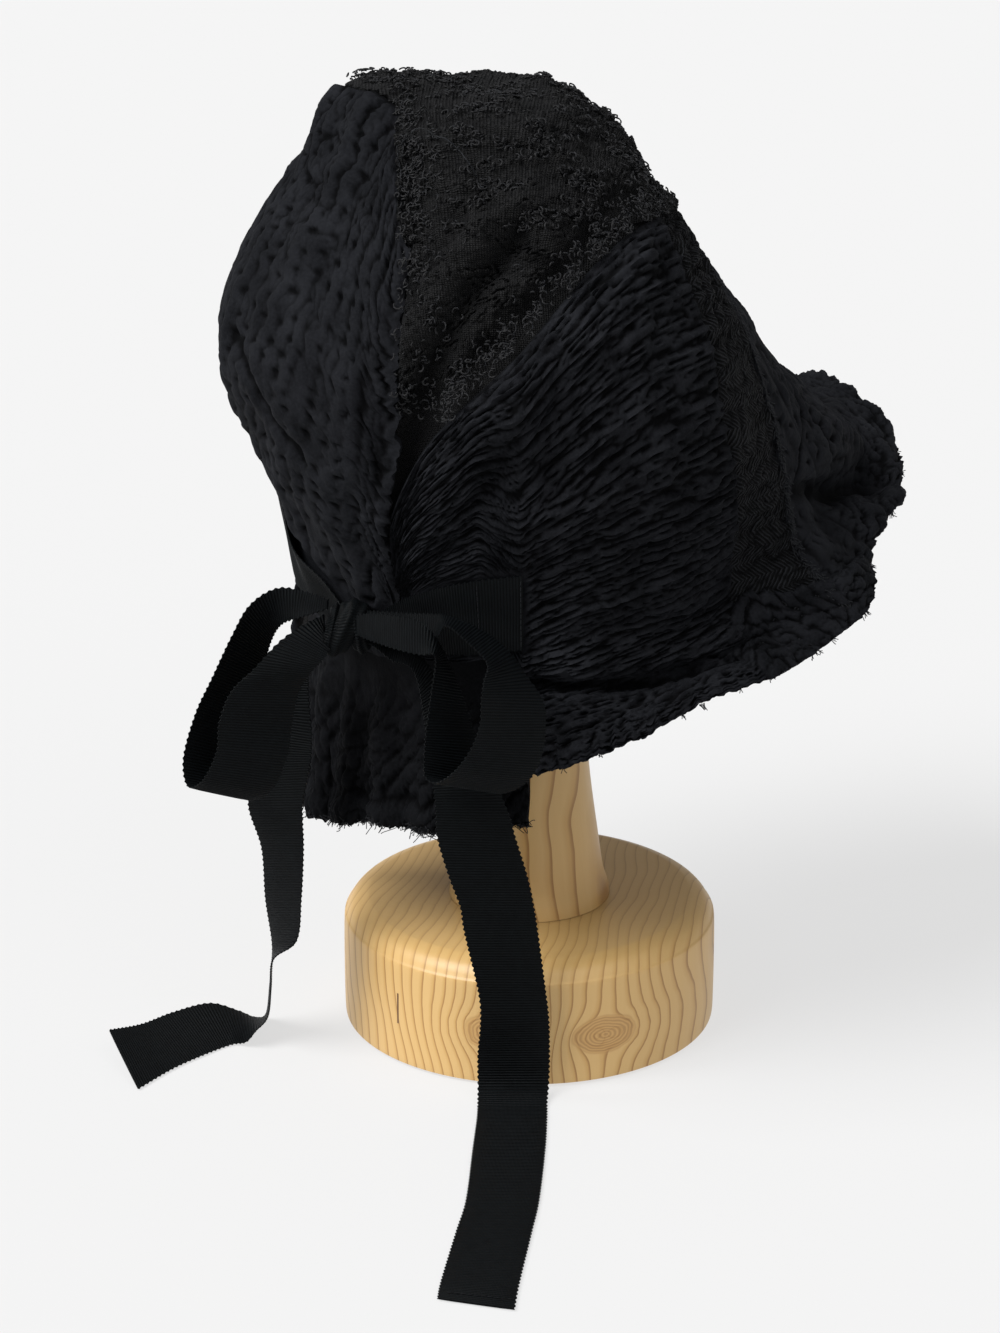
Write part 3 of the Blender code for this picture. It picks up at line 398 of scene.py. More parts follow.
def noise(x, y, seed):
    """Smooth lattice noise in two directions, about -1 to 1."""
    xi, yi = np.floor(x).astype(np.int64), np.floor(y).astype(np.int64)
    xf, yf = x - xi, y - yi

    def corner(dx, dy):
        angle = hashed(xi + dx, yi + dy, seed) * 2 * math.pi
        return np.cos(angle) * (xf - dx) + np.sin(angle) * (yf - dy)

    wx = xf**3 * (xf * (xf * 6 - 15) + 10)
    wy = yf**3 * (yf * (yf * 6 - 15) + 10)
    low = corner(0, 0) * (1 - wx) + corner(1, 0) * wx
    high = corner(0, 1) * (1 - wx) + corner(1, 1) * wx
    return 1.5 * (low * (1 - wy) + high * wy)


def hashed(i, j, seed):
    """A fixed number from 0 to 1 for each whole pair."""
    h = (np.asarray(i, np.int64) * 374761393 + np.asarray(j, np.int64) * 668265263
         + seed * 2246822519) & 0xFFFFFFFF
    h = ((h ^ (h >> 13)) * 1274126177) & 0xFFFFFFFF
    return ((h ^ (h >> 16)) & 0xFFFF) / 65536.0


def puffs(u, v, long, short, seed):
    """Rounded puffs between sharp valleys, 0 to 1, drawn out along u."""
    bent_u = u + 0.35 * long * noise(u / long * 0.5, v / long * 0.8, seed + 1)
    bent_v = v + 0.60 * short * noise(u / long * 0.7, v / short * 0.20, seed + 2)
    broad = np.abs(noise(bent_u / long, bent_v / short, seed))
    fine = np.abs(noise(bent_u / long * 1.9, bent_v / short * 1.7, seed + 3))
    return 0.75 * np.minimum(1, 2.6 * broad) ** 0.6 + 0.25 * np.minimum(1, 2.6 * fine) ** 0.6


def padded_rows(along_row, row, long, seed):
    """Padding between gathered rows of stitches, 0 to 1.  row counts the rows."""
    sway = 0.62 * noise(along_row / (1.5 * long), row * 0.50, seed)
    sway = sway + 0.32 * noise(along_row / (0.55 * long), row * 1.0, seed + 1)
    bent = row + sway
    ridge = np.abs(np.sin(math.pi * bent))**0.5
    step = hashed(np.floor(bent), bent * 0, seed + 2)
    across = along_row / long + step + 0.45 * noise(along_row / long, bent * 0.9, seed + 3)
    pinch = np.abs(np.sin(math.pi * across))**0.5
    return ridge * (0.40 + 0.60 * pinch) * (0.75 + 0.5 * noise(along_row / long, bent * 0.7, seed + 4))


def stitches(u, v, pitch, half, seed):
    """Depth, 0 to 1, of the short stitches of quilting rows."""
    column, row = np.floor(u / pitch[0]), np.floor(v / pitch[1])
    deepest = np.zeros_like(u)
    for dc in (-1, 0, 1):
        for dr in (-1, 0, 1):
            c, r = column + dc, row + dr
            shift_u = 0.5 + 0.35 * (hashed(c, r, seed) - 0.5)
            shift_v = 0.25 + 0.5 * np.mod(c, 2) + 0.5 * (hashed(c, r, seed + 1) - 0.5)
            away = ((u - (c + shift_u) * pitch[0]) / half[0])**2
            away = away + ((v - (r + shift_v) * pitch[1]) / half[1])**2
            size = np.clip(1.5 * hashed(c, r, seed + 2) - 0.2, 0, 1)
            deepest = np.maximum(deepest, size * np.exp(-away))
    return deepest


def near_line(direction, level, line, half):
    """1 on a line of (direction, level), falling to 0 over half a width in levels."""
    nearest = np.full(np.broadcast(direction, level).shape, 99.0)
    for (first, start), (second, end) in zip(line, line[1:]):
        ahead = np.array([(second - first) * DEGREE_IN_LEVELS, end - start])
        beside = np.stack([(direction - first) * DEGREE_IN_LEVELS, level - start], -1)
        share = np.clip((beside @ ahead) / (ahead @ ahead), 0, 1)
        nearest = np.minimum(nearest, np.linalg.norm(beside - share[..., None] * ahead, axis=-1))
    return np.exp(-(nearest / half)**2)


DEGREE_IN_LEVELS = 0.072  # how many levels long a degree is round the hat's middle


def blurred(height, reach):
    """Heights averaged over a square of so many grid places each way."""
    for axis in (0, 1):
        pad = [(0, 0), (0, 0)]
        pad[axis] = (reach + 1, reach)
        total = np.cumsum(np.pad(height, pad, mode="edge"), axis=axis)
        size = height.shape[axis]
        ahead = np.take(total, np.arange(size) + 2 * reach + 1, axis=axis)
        height = (ahead - np.take(total, np.arange(size), axis=axis)) / (2 * reach + 1)
    return height


def hollows(height, spacing, full=0.0006, wide=0.0032):
    """How deep each place lies between its neighbours: 0 level or proud, 1 at full depth. It sets how much painted
    shade the place gets.
    """
    below = blurred(height, max(1, round(wide / spacing))) - height
    return np.clip(0.20 + below / full, 0, 1)**0.7


def mesh_piece(name, points, faces, uv=None, sharp=70.0):
    """Mesh object from an array of points and arrays of same-sized faces."""
    mesh = bpy.data.meshes.new(name)
    loops = np.concatenate([f.ravel() for f in faces]).astype(np.int32)
    sizes = np.concatenate([np.full(len(f), f.shape[1]) for f in faces])
    mesh.vertices.add(len(points))
    mesh.vertices.foreach_set("co", np.asarray(points, np.float32).ravel())
    mesh.loops.add(len(loops))
    mesh.loops.foreach_set("vertex_index", loops)
    mesh.polygons.add(len(sizes))
    mesh.polygons.foreach_set("loop_start", (np.cumsum(sizes) - sizes).astype(np.int32))
    mesh.update(calc_edges=True)
    if uv is not None:
        layer = mesh.uv_layers.new(name="cloth")
        layer.uv.foreach_set("vector", np.asarray(uv, np.float32)[loops].ravel())
    mesh.validate()
    mesh.shade_smooth()
    mesh.set_sharp_from_angle(angle=math.radians(sharp))
    piece = bpy.data.objects.new(name, mesh)
    bpy.context.scene.collection.objects.link(piece)
    return piece


def border(rows, columns, step):
    """Indices round the edge of a grid of points, every step-th one."""
    index = np.arange(rows * columns).reshape(rows, columns)
    return np.concatenate([index[0, :-1:step], index[:-1:step, -1], index[-1, :0:-step],
                           index[:0:-step, 0]])


def quads(rows, columns):
    index = np.arange(rows * columns).reshape(rows, columns)
    a, b, c, d = index[:-1, :-1], index[1:, :-1], index[1:, 1:], index[:-1, 1:]
    return np.stack([a, b, c, d], -1).reshape(-1, 4)


def skin(name, outer, inner, uv, step=3, hollow=None):
    """Closed sheet: a fine outer face, a coarser inner face and a rim between them."""
    rows, columns = outer.shape[:2]
    inner, inner_uv = inner[::step, ::step], uv[::step, ::step]
    few_rows, few_columns = inner.shape[:2]
    count = rows * columns
    dense = border(rows, columns, 1)
    sparse = border(few_rows, few_columns, 1) + count
    fan = np.repeat(sparse, step)
    rim = np.stack([dense, np.roll(dense, -1), fan], -1)
    corner = dense[(np.arange(len(sparse)) + 1) * step % len(dense)]
    last = np.stack([sparse, corner, np.roll(sparse, -1)], -1)
    faces = [quads(rows, columns), quads(few_rows, few_columns)[:, ::-1] + count, rim, last]
    points = np.concatenate([outer.reshape(-1, 3), inner.reshape(-1, 3)])
    both_uv = np.concatenate([uv.reshape(-1, 2), inner_uv.reshape(-1, 2)])
    piece = mesh_piece(name, points, faces, both_uv)
    # hollow: how much painted shade each place gets, stored for the material
    if hollow is not None:
        depth = np.concatenate([hollow.ravel(), hollow[::step, ::step].ravel()])
        layer = piece.data.attributes.new("hollow", "FLOAT", "POINT")
        layer.data.foreach_set("value", depth.astype(np.float32))
    return piece


def lengths(grid, axis):
    """Distance run along one axis of a grid of points."""
    step = np.linalg.norm(np.diff(grid, axis=axis), axis=-1)
    run = np.cumsum(step, axis=axis)
    start = np.zeros_like(np.take(run, [0], axis=axis))
    return np.concatenate([start, run], axis=axis)


def grid_normals(grid):
    normal = np.cross(np.gradient(grid, axis=0), np.gradient(grid, axis=1))
    return normal / np.maximum(np.linalg.norm(normal, axis=-1, keepdims=True), 1e-12)


def panel_area(grid):
    """Area and largest width and length of a grid of points."""
    down, across = np.diff(grid, axis=0)[:, :-1], np.diff(grid, axis=1)[:-1]
    area = np.linalg.norm(np.cross(down, across), axis=-1).sum()
    return area, lengths(grid, 1)[:, -1].max(), lengths(grid, 0)[-1].max()


def cut_cloth(grid, fullness=1.0, smooth_grid=None):
    """Works out the flat cut that a cloth piece's smooth shape was made from: its area, width and length, which
    nothing uses.
    """
    area = panel_area(grid)[0]
    width, length = panel_area(grid if smooth_grid is None else smooth_grid)[1:]
    area, width, length = area * fullness, width * fullness**0.5, length * fullness**0.5


def finish_piece(piece, node, surface):
    piece.data.materials.append(surface)
    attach(piece, "root")
    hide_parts(node)


class Seen:
    """What a relief function may use: places on the panel in metres and shares."""

    def __init__(self, direction, level, share, part, place):
        self.direction, self.level, self.share, self.part = direction, level, share, part
        self.u, self.v = lengths(place, 1), lengths(place, 0)
        self.width, self.length = self.u[:, -1:], self.v[-1:, :]
        self.edge = np.minimum(self.u, self.width - self.u)
        self.top, self.foot = self.v, self.length - self.v


def cloth_panel(name, left, right, surface, relief_of, spacing=0.0011, overlap=(0, 0),
                edge_lift=(0.0, 0.0)):
    """Panel between two seams with its own relief.  overlap adds cloth past each seam."""
    trial = panel_grid(left, right, 12, 12, (0, 0), name)[-1]
    _, width, length = panel_area(trial)
    columns = 3 * max(4, round(width / spacing / 3))
    rows = 3 * max(4, round(length / spacing / 3))
    direction, level, share, part, place = panel_grid(left, right, columns, rows, overlap, name)
    seen = Seen(direction, level, share, part, place)
    normal = hat_normal(direction, level)
    pinch = smooth_step(seen.edge / SEAM_PINCH) * smooth_step(seen.top / SEAM_PINCH)
    height = relief_of(seen) * pinch * (1 - 0.92 * pressed(direction, level)) - SEAM_DEPTH * (1 - pinch)
    low_down = smooth_step((level - EDGE_LIFT_LEVEL) / 0.6)
    for lift, run in ((edge_lift[0], seen.u), (edge_lift[1], seen.width - seen.u)):
        height = height + lift * low_down * (1 - smooth_step(run / EDGE_LIFT_RUN))
    height = height + hem_roll(seen)
    outer = place + normal * height[..., None]
    thick = CLOTH - 0.35 * CLOTH * (1 - smooth_step(seen.foot / 0.004))
    inner = place + normal * (0.4 * height - thick)[..., None]
    # hollow share: painted shade in the relief's hollows and in the dark creases
    piece = skin(name + "_cloth", outer, inner, np.stack([seen.u, seen.v], -1), 3,
                 np.maximum(hollows(height, spacing), crease_shade(direction, level)))
    finish_piece(piece, name, surface)
    cut_cloth(place, QUILT_FULLNESS, trial)
    return piece


def panel_grid(left, right, columns, rows, overlap, name):
    share = np.linspace(0, 1, rows + 1)[:, None] + np.zeros((1, columns + 1))
    part = np.zeros((rows + 1, 1)) + np.linspace(0, 1, columns + 1)[None, :]
    start, end = along(left, 1, share), along(right, 1, share)
    seed = sum(ord(letter) for letter in name)
    ragged = [noise(share * 34, share * 0, seed + k) + 0.7 * noise(share * 90, share * 0, seed + k + 5)
              for k in (0, 1)]
    start = start - overlap[0] * (1 + 1.1 * ragged[0])
    end = end + overlap[1] * (1 + 1.1 * ragged[1])
    direction = start + (end - start) * part
    level = lerp_level(direction, share)
    wave = (0.9 * noise(direction / 3.6, direction * 0, 71) + 0.8 * noise(direction / 1.5, direction * 0, 72)
            + 0.45 * noise(direction / 0.55, direction * 0, 73))
    at_brim = smooth_step((along(FOOT_SEAM, 1, np.mod(direction, 360.0)) - 8.6) / 1.2)
    frill = BRIM_FRILL * wave * smooth_step((share - 0.86) / 0.14) * at_brim
    return direction, level + frill, share, part, hat_point(direction, level + frill)


def brim_facing(surface):
    """Crinkled strip of quilting that covers the foot of the right weave gore."""
    rows, columns = 60, 126
    part = np.zeros((rows + 1, 1)) + np.linspace(0, 1, columns + 1)[None, :]
    share = np.linspace(0, 1, rows + 1)[:, None] + np.zeros((1, columns + 1))
    direction = FACING_TOP[0][0] + (FACING_TOP[-1][0] - FACING_TOP[0][0]) * part
    torn = noise(direction / 1.6, direction * 0, 34) + 0.6 * noise(direction / 0.6, direction * 0, 35)
    top = along(FACING_TOP, 1, direction) + 0.06 * torn
    wave = noise(direction / 1.5, direction * 0, 72) + 0.6 * noise(direction / 0.55, direction * 0, 73)
    level = top + (10.03 + 0.03 * wave - top) * share
    place, normal = hat_point(direction, level), hat_normal(direction, level)
    u, v = lengths(place, 1), lengths(place, 0)
    ends = smooth_step(part / 0.10) * smooth_step((1 - part) / 0.12)
    lift = 0.0014 * ends * smooth_step(share / 0.04)
    crinkle = padded_rows(u, v / 0.0062, 0.0120, 36) - 0.35
    lumps = puffs(u, v, 0.0120, 0.0090, 37) - 0.5
    height = lift + (0.0019 * crinkle + 0.0022 * lumps) * (0.3 + 0.7 * ends)
    outer = place + normal * height[..., None]
    inner = place + normal * (0.5 * height - 0.0006)[..., None]
    # hollow share: painted shade in the crinkles' hollows and in the dark creases
    piece = skin("brim_facing_right", outer, inner, np.stack([u, v], -1), 3,
                 np.maximum(hollows(height, 0.0009), crease_shade(direction, level)))
    finish_piece(piece, "weave_gore_right", surface)
    cut_cloth(place, QUILT_FULLNESS)


FACING_TOP = ((98.0, 8.55), (103.0, 8.10), (107.5, 8.32), (112.0, 8.60), (116.5, 8.80), (121.5, 9.02),
              (127.0, 9.15), (134.0, 9.55))


def hem_roll(seen):
    """The brim's rolled hem: a thick edge with a row of gathers above it."""
    near = seen.foot / HEM_ROLL
    roll = np.exp(-((near - 0.45) / 0.45)**2) - 0.7 * np.exp(-((near - 1.35) / 0.30)**2)
    gather = 0.75 + 0.5 * noise(seen.direction / 1.9, near * 0.8, 83)
    return HEM_HEIGHT * roll * gather


SEAM_PINCH = 0.0035      # a panel's relief fades out this close to a seam
SEAM_DEPTH = 0.0006      # and the seam itself lies this deep
EDGE_LIFT_RUN = 0.006
EDGE_LIFT_LEVEL = 4.4    # edges lie flat above this level
QUILT_FULLNESS = 1.15    # flat cut of crinkled quilting over its smooth size
BRIM_FRILL = 0.10       # frill of the brim edge, in levels
HEM_ROLL = 0.0075
HEM_HEIGHT = 0.0011


def quilting(u, v, pitch, seed, dash=(0.0016, 0.0007), pull=0.7):
    """Padded cloth pulled in by rows of short stitches: depth below its puffs."""
    pulled = stitches(u, v, pitch, (0.36 * pitch[0], 0.30 * pitch[1]), seed)
    return pull * pulled + stitches(u, v, pitch, dash, seed)


def back_relief(seen):
    """Upright quilting rows with level stitches, over soft upright folds."""
    u = seen.width - seen.u
    sway = u + 0.0030 * noise(u / 0.03, seen.v / 0.030, 16)
    ridges = np.abs(np.cos(math.pi * sway / BACK_ROWS))**0.8
    folds = noise(u / 0.017, seen.v / 0.060, 12) + 0.7 * noise(u / 0.028, seen.v / 0.028, 15)
    crumple = puffs(seen.v, u, 0.020, 0.0120, 14) - 0.6
    near_top = 1 - smooth_step((seen.level - 2.4) / 1.8)
    near_seam = 1 - smooth_step(u / 0.022)
    rows = quilting(sway, seen.v, (BACK_ROWS, 0.0086), 13, (0.0017, 0.0007), 0.45)
    layer = near_line(seen.direction - 360, seen.level, SECOND_LAYER, 0.10)
    return (0.0021 * folds + 0.0006 * ridges
            + (0.0008 + 0.0022 * np.maximum(near_top, near_seam)) * crumple
            - 0.0013 * rows - 0.0032 * layer)


def pressed(direction, level):
    """How far a place lies under the ribbon bands, which flatten the cloth, 0 to 1."""
    share = np.zeros(np.shape(direction))
    for rows in (BAND_RIGHT, BAND_LEFT):
        turn = direction if rows[0][0] > 180 else np.where(direction > 200, direction - 360, direction)
        turn = np.where((rows[0][0] > 180) & (turn < 60), turn + 360, turn)
        inside = smooth_step((turn - rows[0][0] + 2) / 2) * smooth_step((rows[-1][0] + 2 - turn) / 2)
        above, below = along(rows, 1, turn), along(rows, 2, turn)
        inside = inside * smooth_step((level - above + 0.16) / 0.16) * smooth_step((below + 0.16 - level) / 0.16)
        share = np.maximum(share, inside)
    return share


def crease_shade(direction, level):
    """How far a place lies in one of the hat's creases that get painted shade, 0 to 1."""
    turn = np.where(direction > 300, direction - 360, direction)
    return np.clip(sum(near_line(turn, level, line, half) for line, half in CREASE_SHADE_LINES), 0, 1)


BACK_ROWS = 0.0098
SECOND_LAYER = ((-13.0, 4.88), (-9.5, 4.97), (-5.0, 5.17), (-1.5, 5.39), (1.5, 5.57), (6.0, 5.73))
SIDE_ROWS = 0.0080


def side_relief(seen):
    """Long crinkles beside the diagonal, level further down, stitched at the brim."""
    brim = smooth_step((seen.level - 8.5) / 0.4)
    row = (0.3 * seen.share * seen.length.max() + 0.7 * seen.v) / SIDE_ROWS
    crinkle = padded_rows(seen.u, row, 0.0190, 21) - 0.45
    fine = puffs(seen.u, row * SIDE_ROWS, 0.0130, 0.0085, 23) - 0.6
    rows = quilting(seen.v, seen.u, (0.0070, 0.0080), 24, (0.0008, 0.0017))
    dimples = puffs(seen.u, seen.v, 0.011, 0.0085, 27) - 0.6
    lumps = noise(seen.u / 0.030, seen.v / 0.016, 25)
    crease = near_line(seen.direction, seen.level, BRIM_CREASE, 0.10)
    shade_side = near_line(seen.direction, seen.level, BRIM_BULGE, 0.22)
    return ((0.0034 - 0.0025 * brim) * crinkle + 0.0015 * fine + 0.0016 * lumps
            + brim * (0.0016 * dimples - 0.0012 * rows) - 0.0034 * crease + 0.0026 * shade_side)


BRIM_CREASE = ((55.5, 8.55), (70.0, 8.68), (90.5, 9.05), (103.0, 9.20))
BRIM_BULGE = ((62.0, 8.15), (80.0, 8.35), (92.0, 8.60), (101.0, 8.75))
FRONT_HOLLOW = ((122.5, 7.42), (129.0, 7.80), (136.5, 8.21), (144.5, 8.85), (150.5, 9.07), (156.0, 9.33))
FRONT_DOME = ((146.0, 7.40), (158.0, 8.30), (166.0, 8.95))
LAYER_EDGE = ((146.0, 5.90), (144.0, 6.23), (141.5, 6.51), (139.0, 6.75), (128.0, 6.97), (122.0, 7.33))
LAYER_EDGE_TWO = ((143.0, 6.79), (142.5, 7.11), (143.0, 7.33), (141.0, 7.67), (143.0, 8.17))
# Creases whose shade is painted into the cloth's colour: line, and half width in levels.
CREASE_SHADE_LINES = ((BRIM_CREASE, 0.045), (FRONT_HOLLOW, 0.17), (LAYER_EDGE, 0.035), (LAYER_EDGE_TWO, 0.035),
                (SECOND_LAYER, 0.05))


def weave_relief(seen):
    """Woven zigzag cloth with rough rows and soft uneven folds."""
    bumps = puffs(seen.u, seen.v, 0.010, 0.0070, 31) - 0.6
    upper = smooth_step((5.2 - seen.level) / 0.8)
    rows = quilting(seen.v, seen.u, (0.0070, 0.0075), 33, (0.0007, 0.0016))
    rough = np.abs(noise(seen.u / 0.0045, seen.v / 0.0038, 34))
    return ((0.0013 + 0.0012 * upper) * bumps + 0.0014 * noise(seen.u / 0.016, seen.v / 0.012, 32)
            + 0.0009 * rough - 0.0008 * upper * rows)


def strip_relief(seen):
    rows = quilting(seen.v, seen.u, (0.0080, 0.0086), 41, (0.0008, 0.0020))
    soft = noise(seen.u / 0.012, seen.v / 0.022, 42)
    return 0.0013 * soft - 0.0009 * rows + front_folds(seen)


def front_relief(seen):
    """Front cloth with open quilting rows, and a rougher brim edge."""
    brim = smooth_step((seen.level - 8.7) / 0.8)
    ruffle = noise(seen.direction / 7.0, seen.level * 0.9, 55)
    crinkle = puffs(seen.u, seen.v, 0.018, 0.0100, 51) - 0.6
    rough = puffs(seen.u, seen.v, 0.0085, 0.0060, 52) - 0.6
    rows = quilting(seen.u, seen.v, (0.0090, 0.0080), 53, (0.0020, 0.0008))
    return (0.0017 * crinkle + (0.0006 + 0.0022 * brim) * rough - 0.0010 * rows * (1 - 0.5 * brim)
            + 0.0015 * noise(seen.u / 0.02, seen.v / 0.02, 54) + 0.0042 * brim * ruffle
            + front_folds(seen))


def front_folds(seen):
    """The hollow and dome at the front of the brim, and edges of its cloth layers."""
    place = seen.direction, seen.level
    return (0.0028 * near_line(*place, FRONT_DOME, 0.42) - 0.0048 * near_line(*place, FRONT_HOLLOW, 0.16)
            - 0.0011 * near_line(*place, LAYER_EDGE, 0.045) - 0.0011 * near_line(*place, LAYER_EDGE_TWO, 0.045))


def crown_places(direction, level):
    """Flat places on the crown piece, v running down the hat's back right."""
    run = (0.62 * level + 0.075 * level**2) * CROWN_REACH * 0.42
    angle = np.radians(direction - KNIT_TURN)
    return run * np.sin(angle), run * np.cos(angle)


def crown_relief(direction, level):
    """Looped knit: rough clusters between smoother bands of plain ribs."""
    u, v = crown_places(direction, level)
    rough = smooth_step(0.5 + 1.6 * noise(u / 0.030, v / 0.009, 61))
    loops = puffs(u, v, 0.0062, 0.0048, 62) - 0.45
    ribs = np.cos(2 * math.pi * (u + 0.0006 * noise(u / 0.01, v / 0.004, 63)) / KNIT_RIB)
    folds = noise(u / 0.026, v / 0.018, 64) + 0.5 * noise(u / 0.012, v / 0.010, 65)
    fold = near_line(direction, level, DEEP_FOLD, 0.20)
    swell = near_line(direction, level, FOLD_SWELL, 0.26)
    edge = near_line(direction, level, CROWN_BACK_EDGE[2:], 0.22)
    rough = np.maximum(rough, edge)
    return (0.0018 * folds + (0.0008 + 0.0026 * rough) * loops + 0.00030 * (1 - rough) * ribs
            - 0.0058 * fold + 0.0038 * swell)


DEEP_FOLD = ((52.0, 3.45), (44.5, 3.95), (39.5, 4.43), (35.0, 5.05), (31.0, 5.65), (28.0, 6.1))
FOLD_SWELL = ((52.0, 3.05), (44.0, 3.35), (37.5, 3.85), (33.5, 4.45))


def tucked(direction, level):
    """Share, 0 to 1, by which the crown piece has gone under the side panel."""
    on_tongue = smooth_step((direction - 20.0) / 4) * smooth_step((94.0 - direction) / 3)
    return on_tongue * smooth_step(1 - (along(TOP_SEAM, 1, direction) - level - 2 * TONGUE_UNDER) / 0.4)


KNIT_TURN = 50.0         # direction down which the crown's ribs run
KNIT_RIB = 0.0026
KNIT_WALE = 0.0016       # fine wales between them, in the material
CROWN_LIFT = 0.0010      # the crown's raw edge lies on the panels
CROWN_CELLS = 216        # grid across the crown piece, a multiple of three


def crown_cap(surface):
    """The round of the crown, on a square grid pressed into a disc."""
    x, y = np.meshgrid(np.linspace(-1, 1, CROWN_CELLS + 1), np.linspace(-1, 1, CROWN_CELLS + 1))
    disc_x, disc_y = x * np.sqrt(1 - y**2 / 2), y * np.sqrt(1 - x**2 / 2)
    share = np.hypot(disc_x, disc_y)
    direction = np.mod(np.degrees(np.arctan2(disc_x, disc_y)), 360.0)
    around = np.where(direction < 28.0, direction + 360.0, direction)
    on_tongue = (around >= 28.0) & (around <= 92.0)
    rim = np.where(on_tongue, 3.60 + (around - 28.0) * (3.38 - 3.60) / 64.0,
                   along(TOP_SEAM, 1, around))
    ragged = noise(around / 2.1, around * 0, 66) + 0.6 * noise(around / 0.8, around * 0, 67)
    tongue_blend = np.minimum(smooth_step((28.0 - around) / 5), 1) + smooth_step((around - 92.0) / 5)
    tongue_blend = np.where(around > 300, smooth_step((388.0 - around) / 5), tongue_blend)
    shorter = smooth_step((around - 296) / 12) * smooth_step((366 - around) / 8)
    over = tongue_blend * (0.07 - 0.05 * shorter + 0.045 * ragged)
    level = np.maximum(share * (rim + over), 0.004)
    near = smooth_step((share - 0.93) / 0.06) * tongue_blend * (1 - 0.9 * shorter)
    place, normal = hat_point(direction, level), hat_normal(direction, level)
    tuck = tucked(direction, level)
    height = crown_relief(direction, level) * (1 - 0.8 * tuck) + near * (CROWN_LIFT + 0.0006 * ragged)
    height = height - tuck * (CLOTH + 9 * GAP)
    height = height * (1 - 0.9 * shorter * smooth_step((share - 0.80) / 0.15))
    outer = place + normal * height[..., None]
    inner = place - normal * (CLOTH - 0.4 * height)[..., None]
    u, v = crown_places(direction, level)
    # hollow share: painted shade in the knit's hollows and along the deep fold
    hollow = np.maximum(hollows(crown_relief(direction, level), 0.0009, 0.0014),
                        near_line(direction, level, DEEP_FOLD, 0.24))
    piece = skin("crown_boucle_cloth", outer, inner, np.stack([u, v], -1), 3, hollow)
    finish_piece(piece, "crown_boucle_panel", surface)
    cut_cloth(place, QUILT_FULLNESS)
    return piece


def tongue_grid(rows, columns):
    share = np.linspace(-0.05, 1.10, rows + 1)[:, None] + np.zeros((1, columns + 1))
    part = np.zeros((rows + 1, 1)) + np.linspace(0, 1, columns + 1)[None, :]
    top = np.clip(share, 0, 1)
    past = np.maximum(share - 1, 0)
    left_level, right = along(TONGUE, 1, top) + 6 * past, along(TONGUE, 2, top) + 14 * past
    left = left_edge(left_level) - 4.0
    right_level = along(TOP_SEAM, 1, right) + TONGUE_UNDER
    direction = left + (right - left) * part
    level = left_level + (right_level - left_level) * part + np.minimum(share, 0) * 4
    return direction, level


TONGUE_UNDER = 0.10      # how far the tongue tucks under the side panel, in levels


def crown_tongue(surface):
    """The crown piece's tongue, which narrows down the deep fold at the back right."""
    direction, level = tongue_grid(150, 90)
    place, normal = hat_point(direction, level), hat_normal(direction, level)
    tuck = tucked(direction, level)
    left = smooth_step((direction - left_edge(level)) / 2.0)
    past = smooth_step((level - 6.2) / 0.3)
    under = np.maximum(past, 1 - left)
    height = crown_relief(direction, level) * (1 - 0.8 * tuck) * (1 - under)
    height = height - np.maximum(tuck * (CLOTH + 9 * GAP), under * (CLOTH + 3 * GAP))
    outer = place + normal * height[..., None]
    inner = outer - normal * CLOTH
    u, v = crown_places(direction, level)
    # hollow share: painted shade in the knit's hollows and along the deep fold
    hollow = np.maximum(hollows(crown_relief(direction, level), 0.0009, 0.0014),
                        near_line(direction, level, DEEP_FOLD, 0.24))
    piece = skin("crown_tongue_cloth", outer, inner, np.stack([u, v], -1), 3, hollow)
    finish_piece(piece, "crown_boucle_panel", surface)
    cut_cloth(place, QUILT_FULLNESS)
    return piece


def curtain_place(part, share):
    """The nape curtain's outer side, as the part has it."""
    direction = CURTAIN_LEFT + (CURTAIN_RIGHT - CURTAIN_LEFT) * part
    start_level = np.full_like(direction, 7.55)
    start = hat_point(direction, start_level)
    start = start - (CLOTH + 3 * GAP) * hat_normal(direction, start_level)
    reach = np.linalg.norm(start[..., :2], axis=-1)
    for level in (7.8, 8.1, 8.4, 8.7):
        beside = hat_point(direction, np.full_like(direction, level))
        reach = np.minimum(reach, np.linalg.norm(beside[..., :2], axis=-1) - CLOTH - 4 * GAP)
    left, middle, right = (along(CURTAIN, c, share) for c in (1, 2, 3))
    bulge = np.where(part < 0.5, left + (middle - left) * 2 * part,
                     middle + (right - middle) * (2 * part - 1))
    uneven = part + 0.035 * noise(part * 5.0, share * 0.8, 96)
    pleat = CURTAIN_PLEAT_DEPTH * np.sin(2 * math.pi * CURTAIN_PLEATS * uneven)
    pleat = pleat * (0.45 + 0.5 * noise(part * 7.0, share * 1.6, 97))
    fall = smooth_step((share - 0.14) / 0.5)
    length = np.interp(part, (0.0, 0.5, 1.0), CURTAIN_LENGTH) * CROWN_DROP
    reach = reach + CROWN_REACH * (bulge * fall + (pleat - CURTAIN_PLEAT_DEPTH) * fall)
    height = start[..., 2] - share * length
    angle = np.radians(direction)
    return np.stack([-np.sin(angle) * reach, np.cos(angle) * reach, height], -1), fall


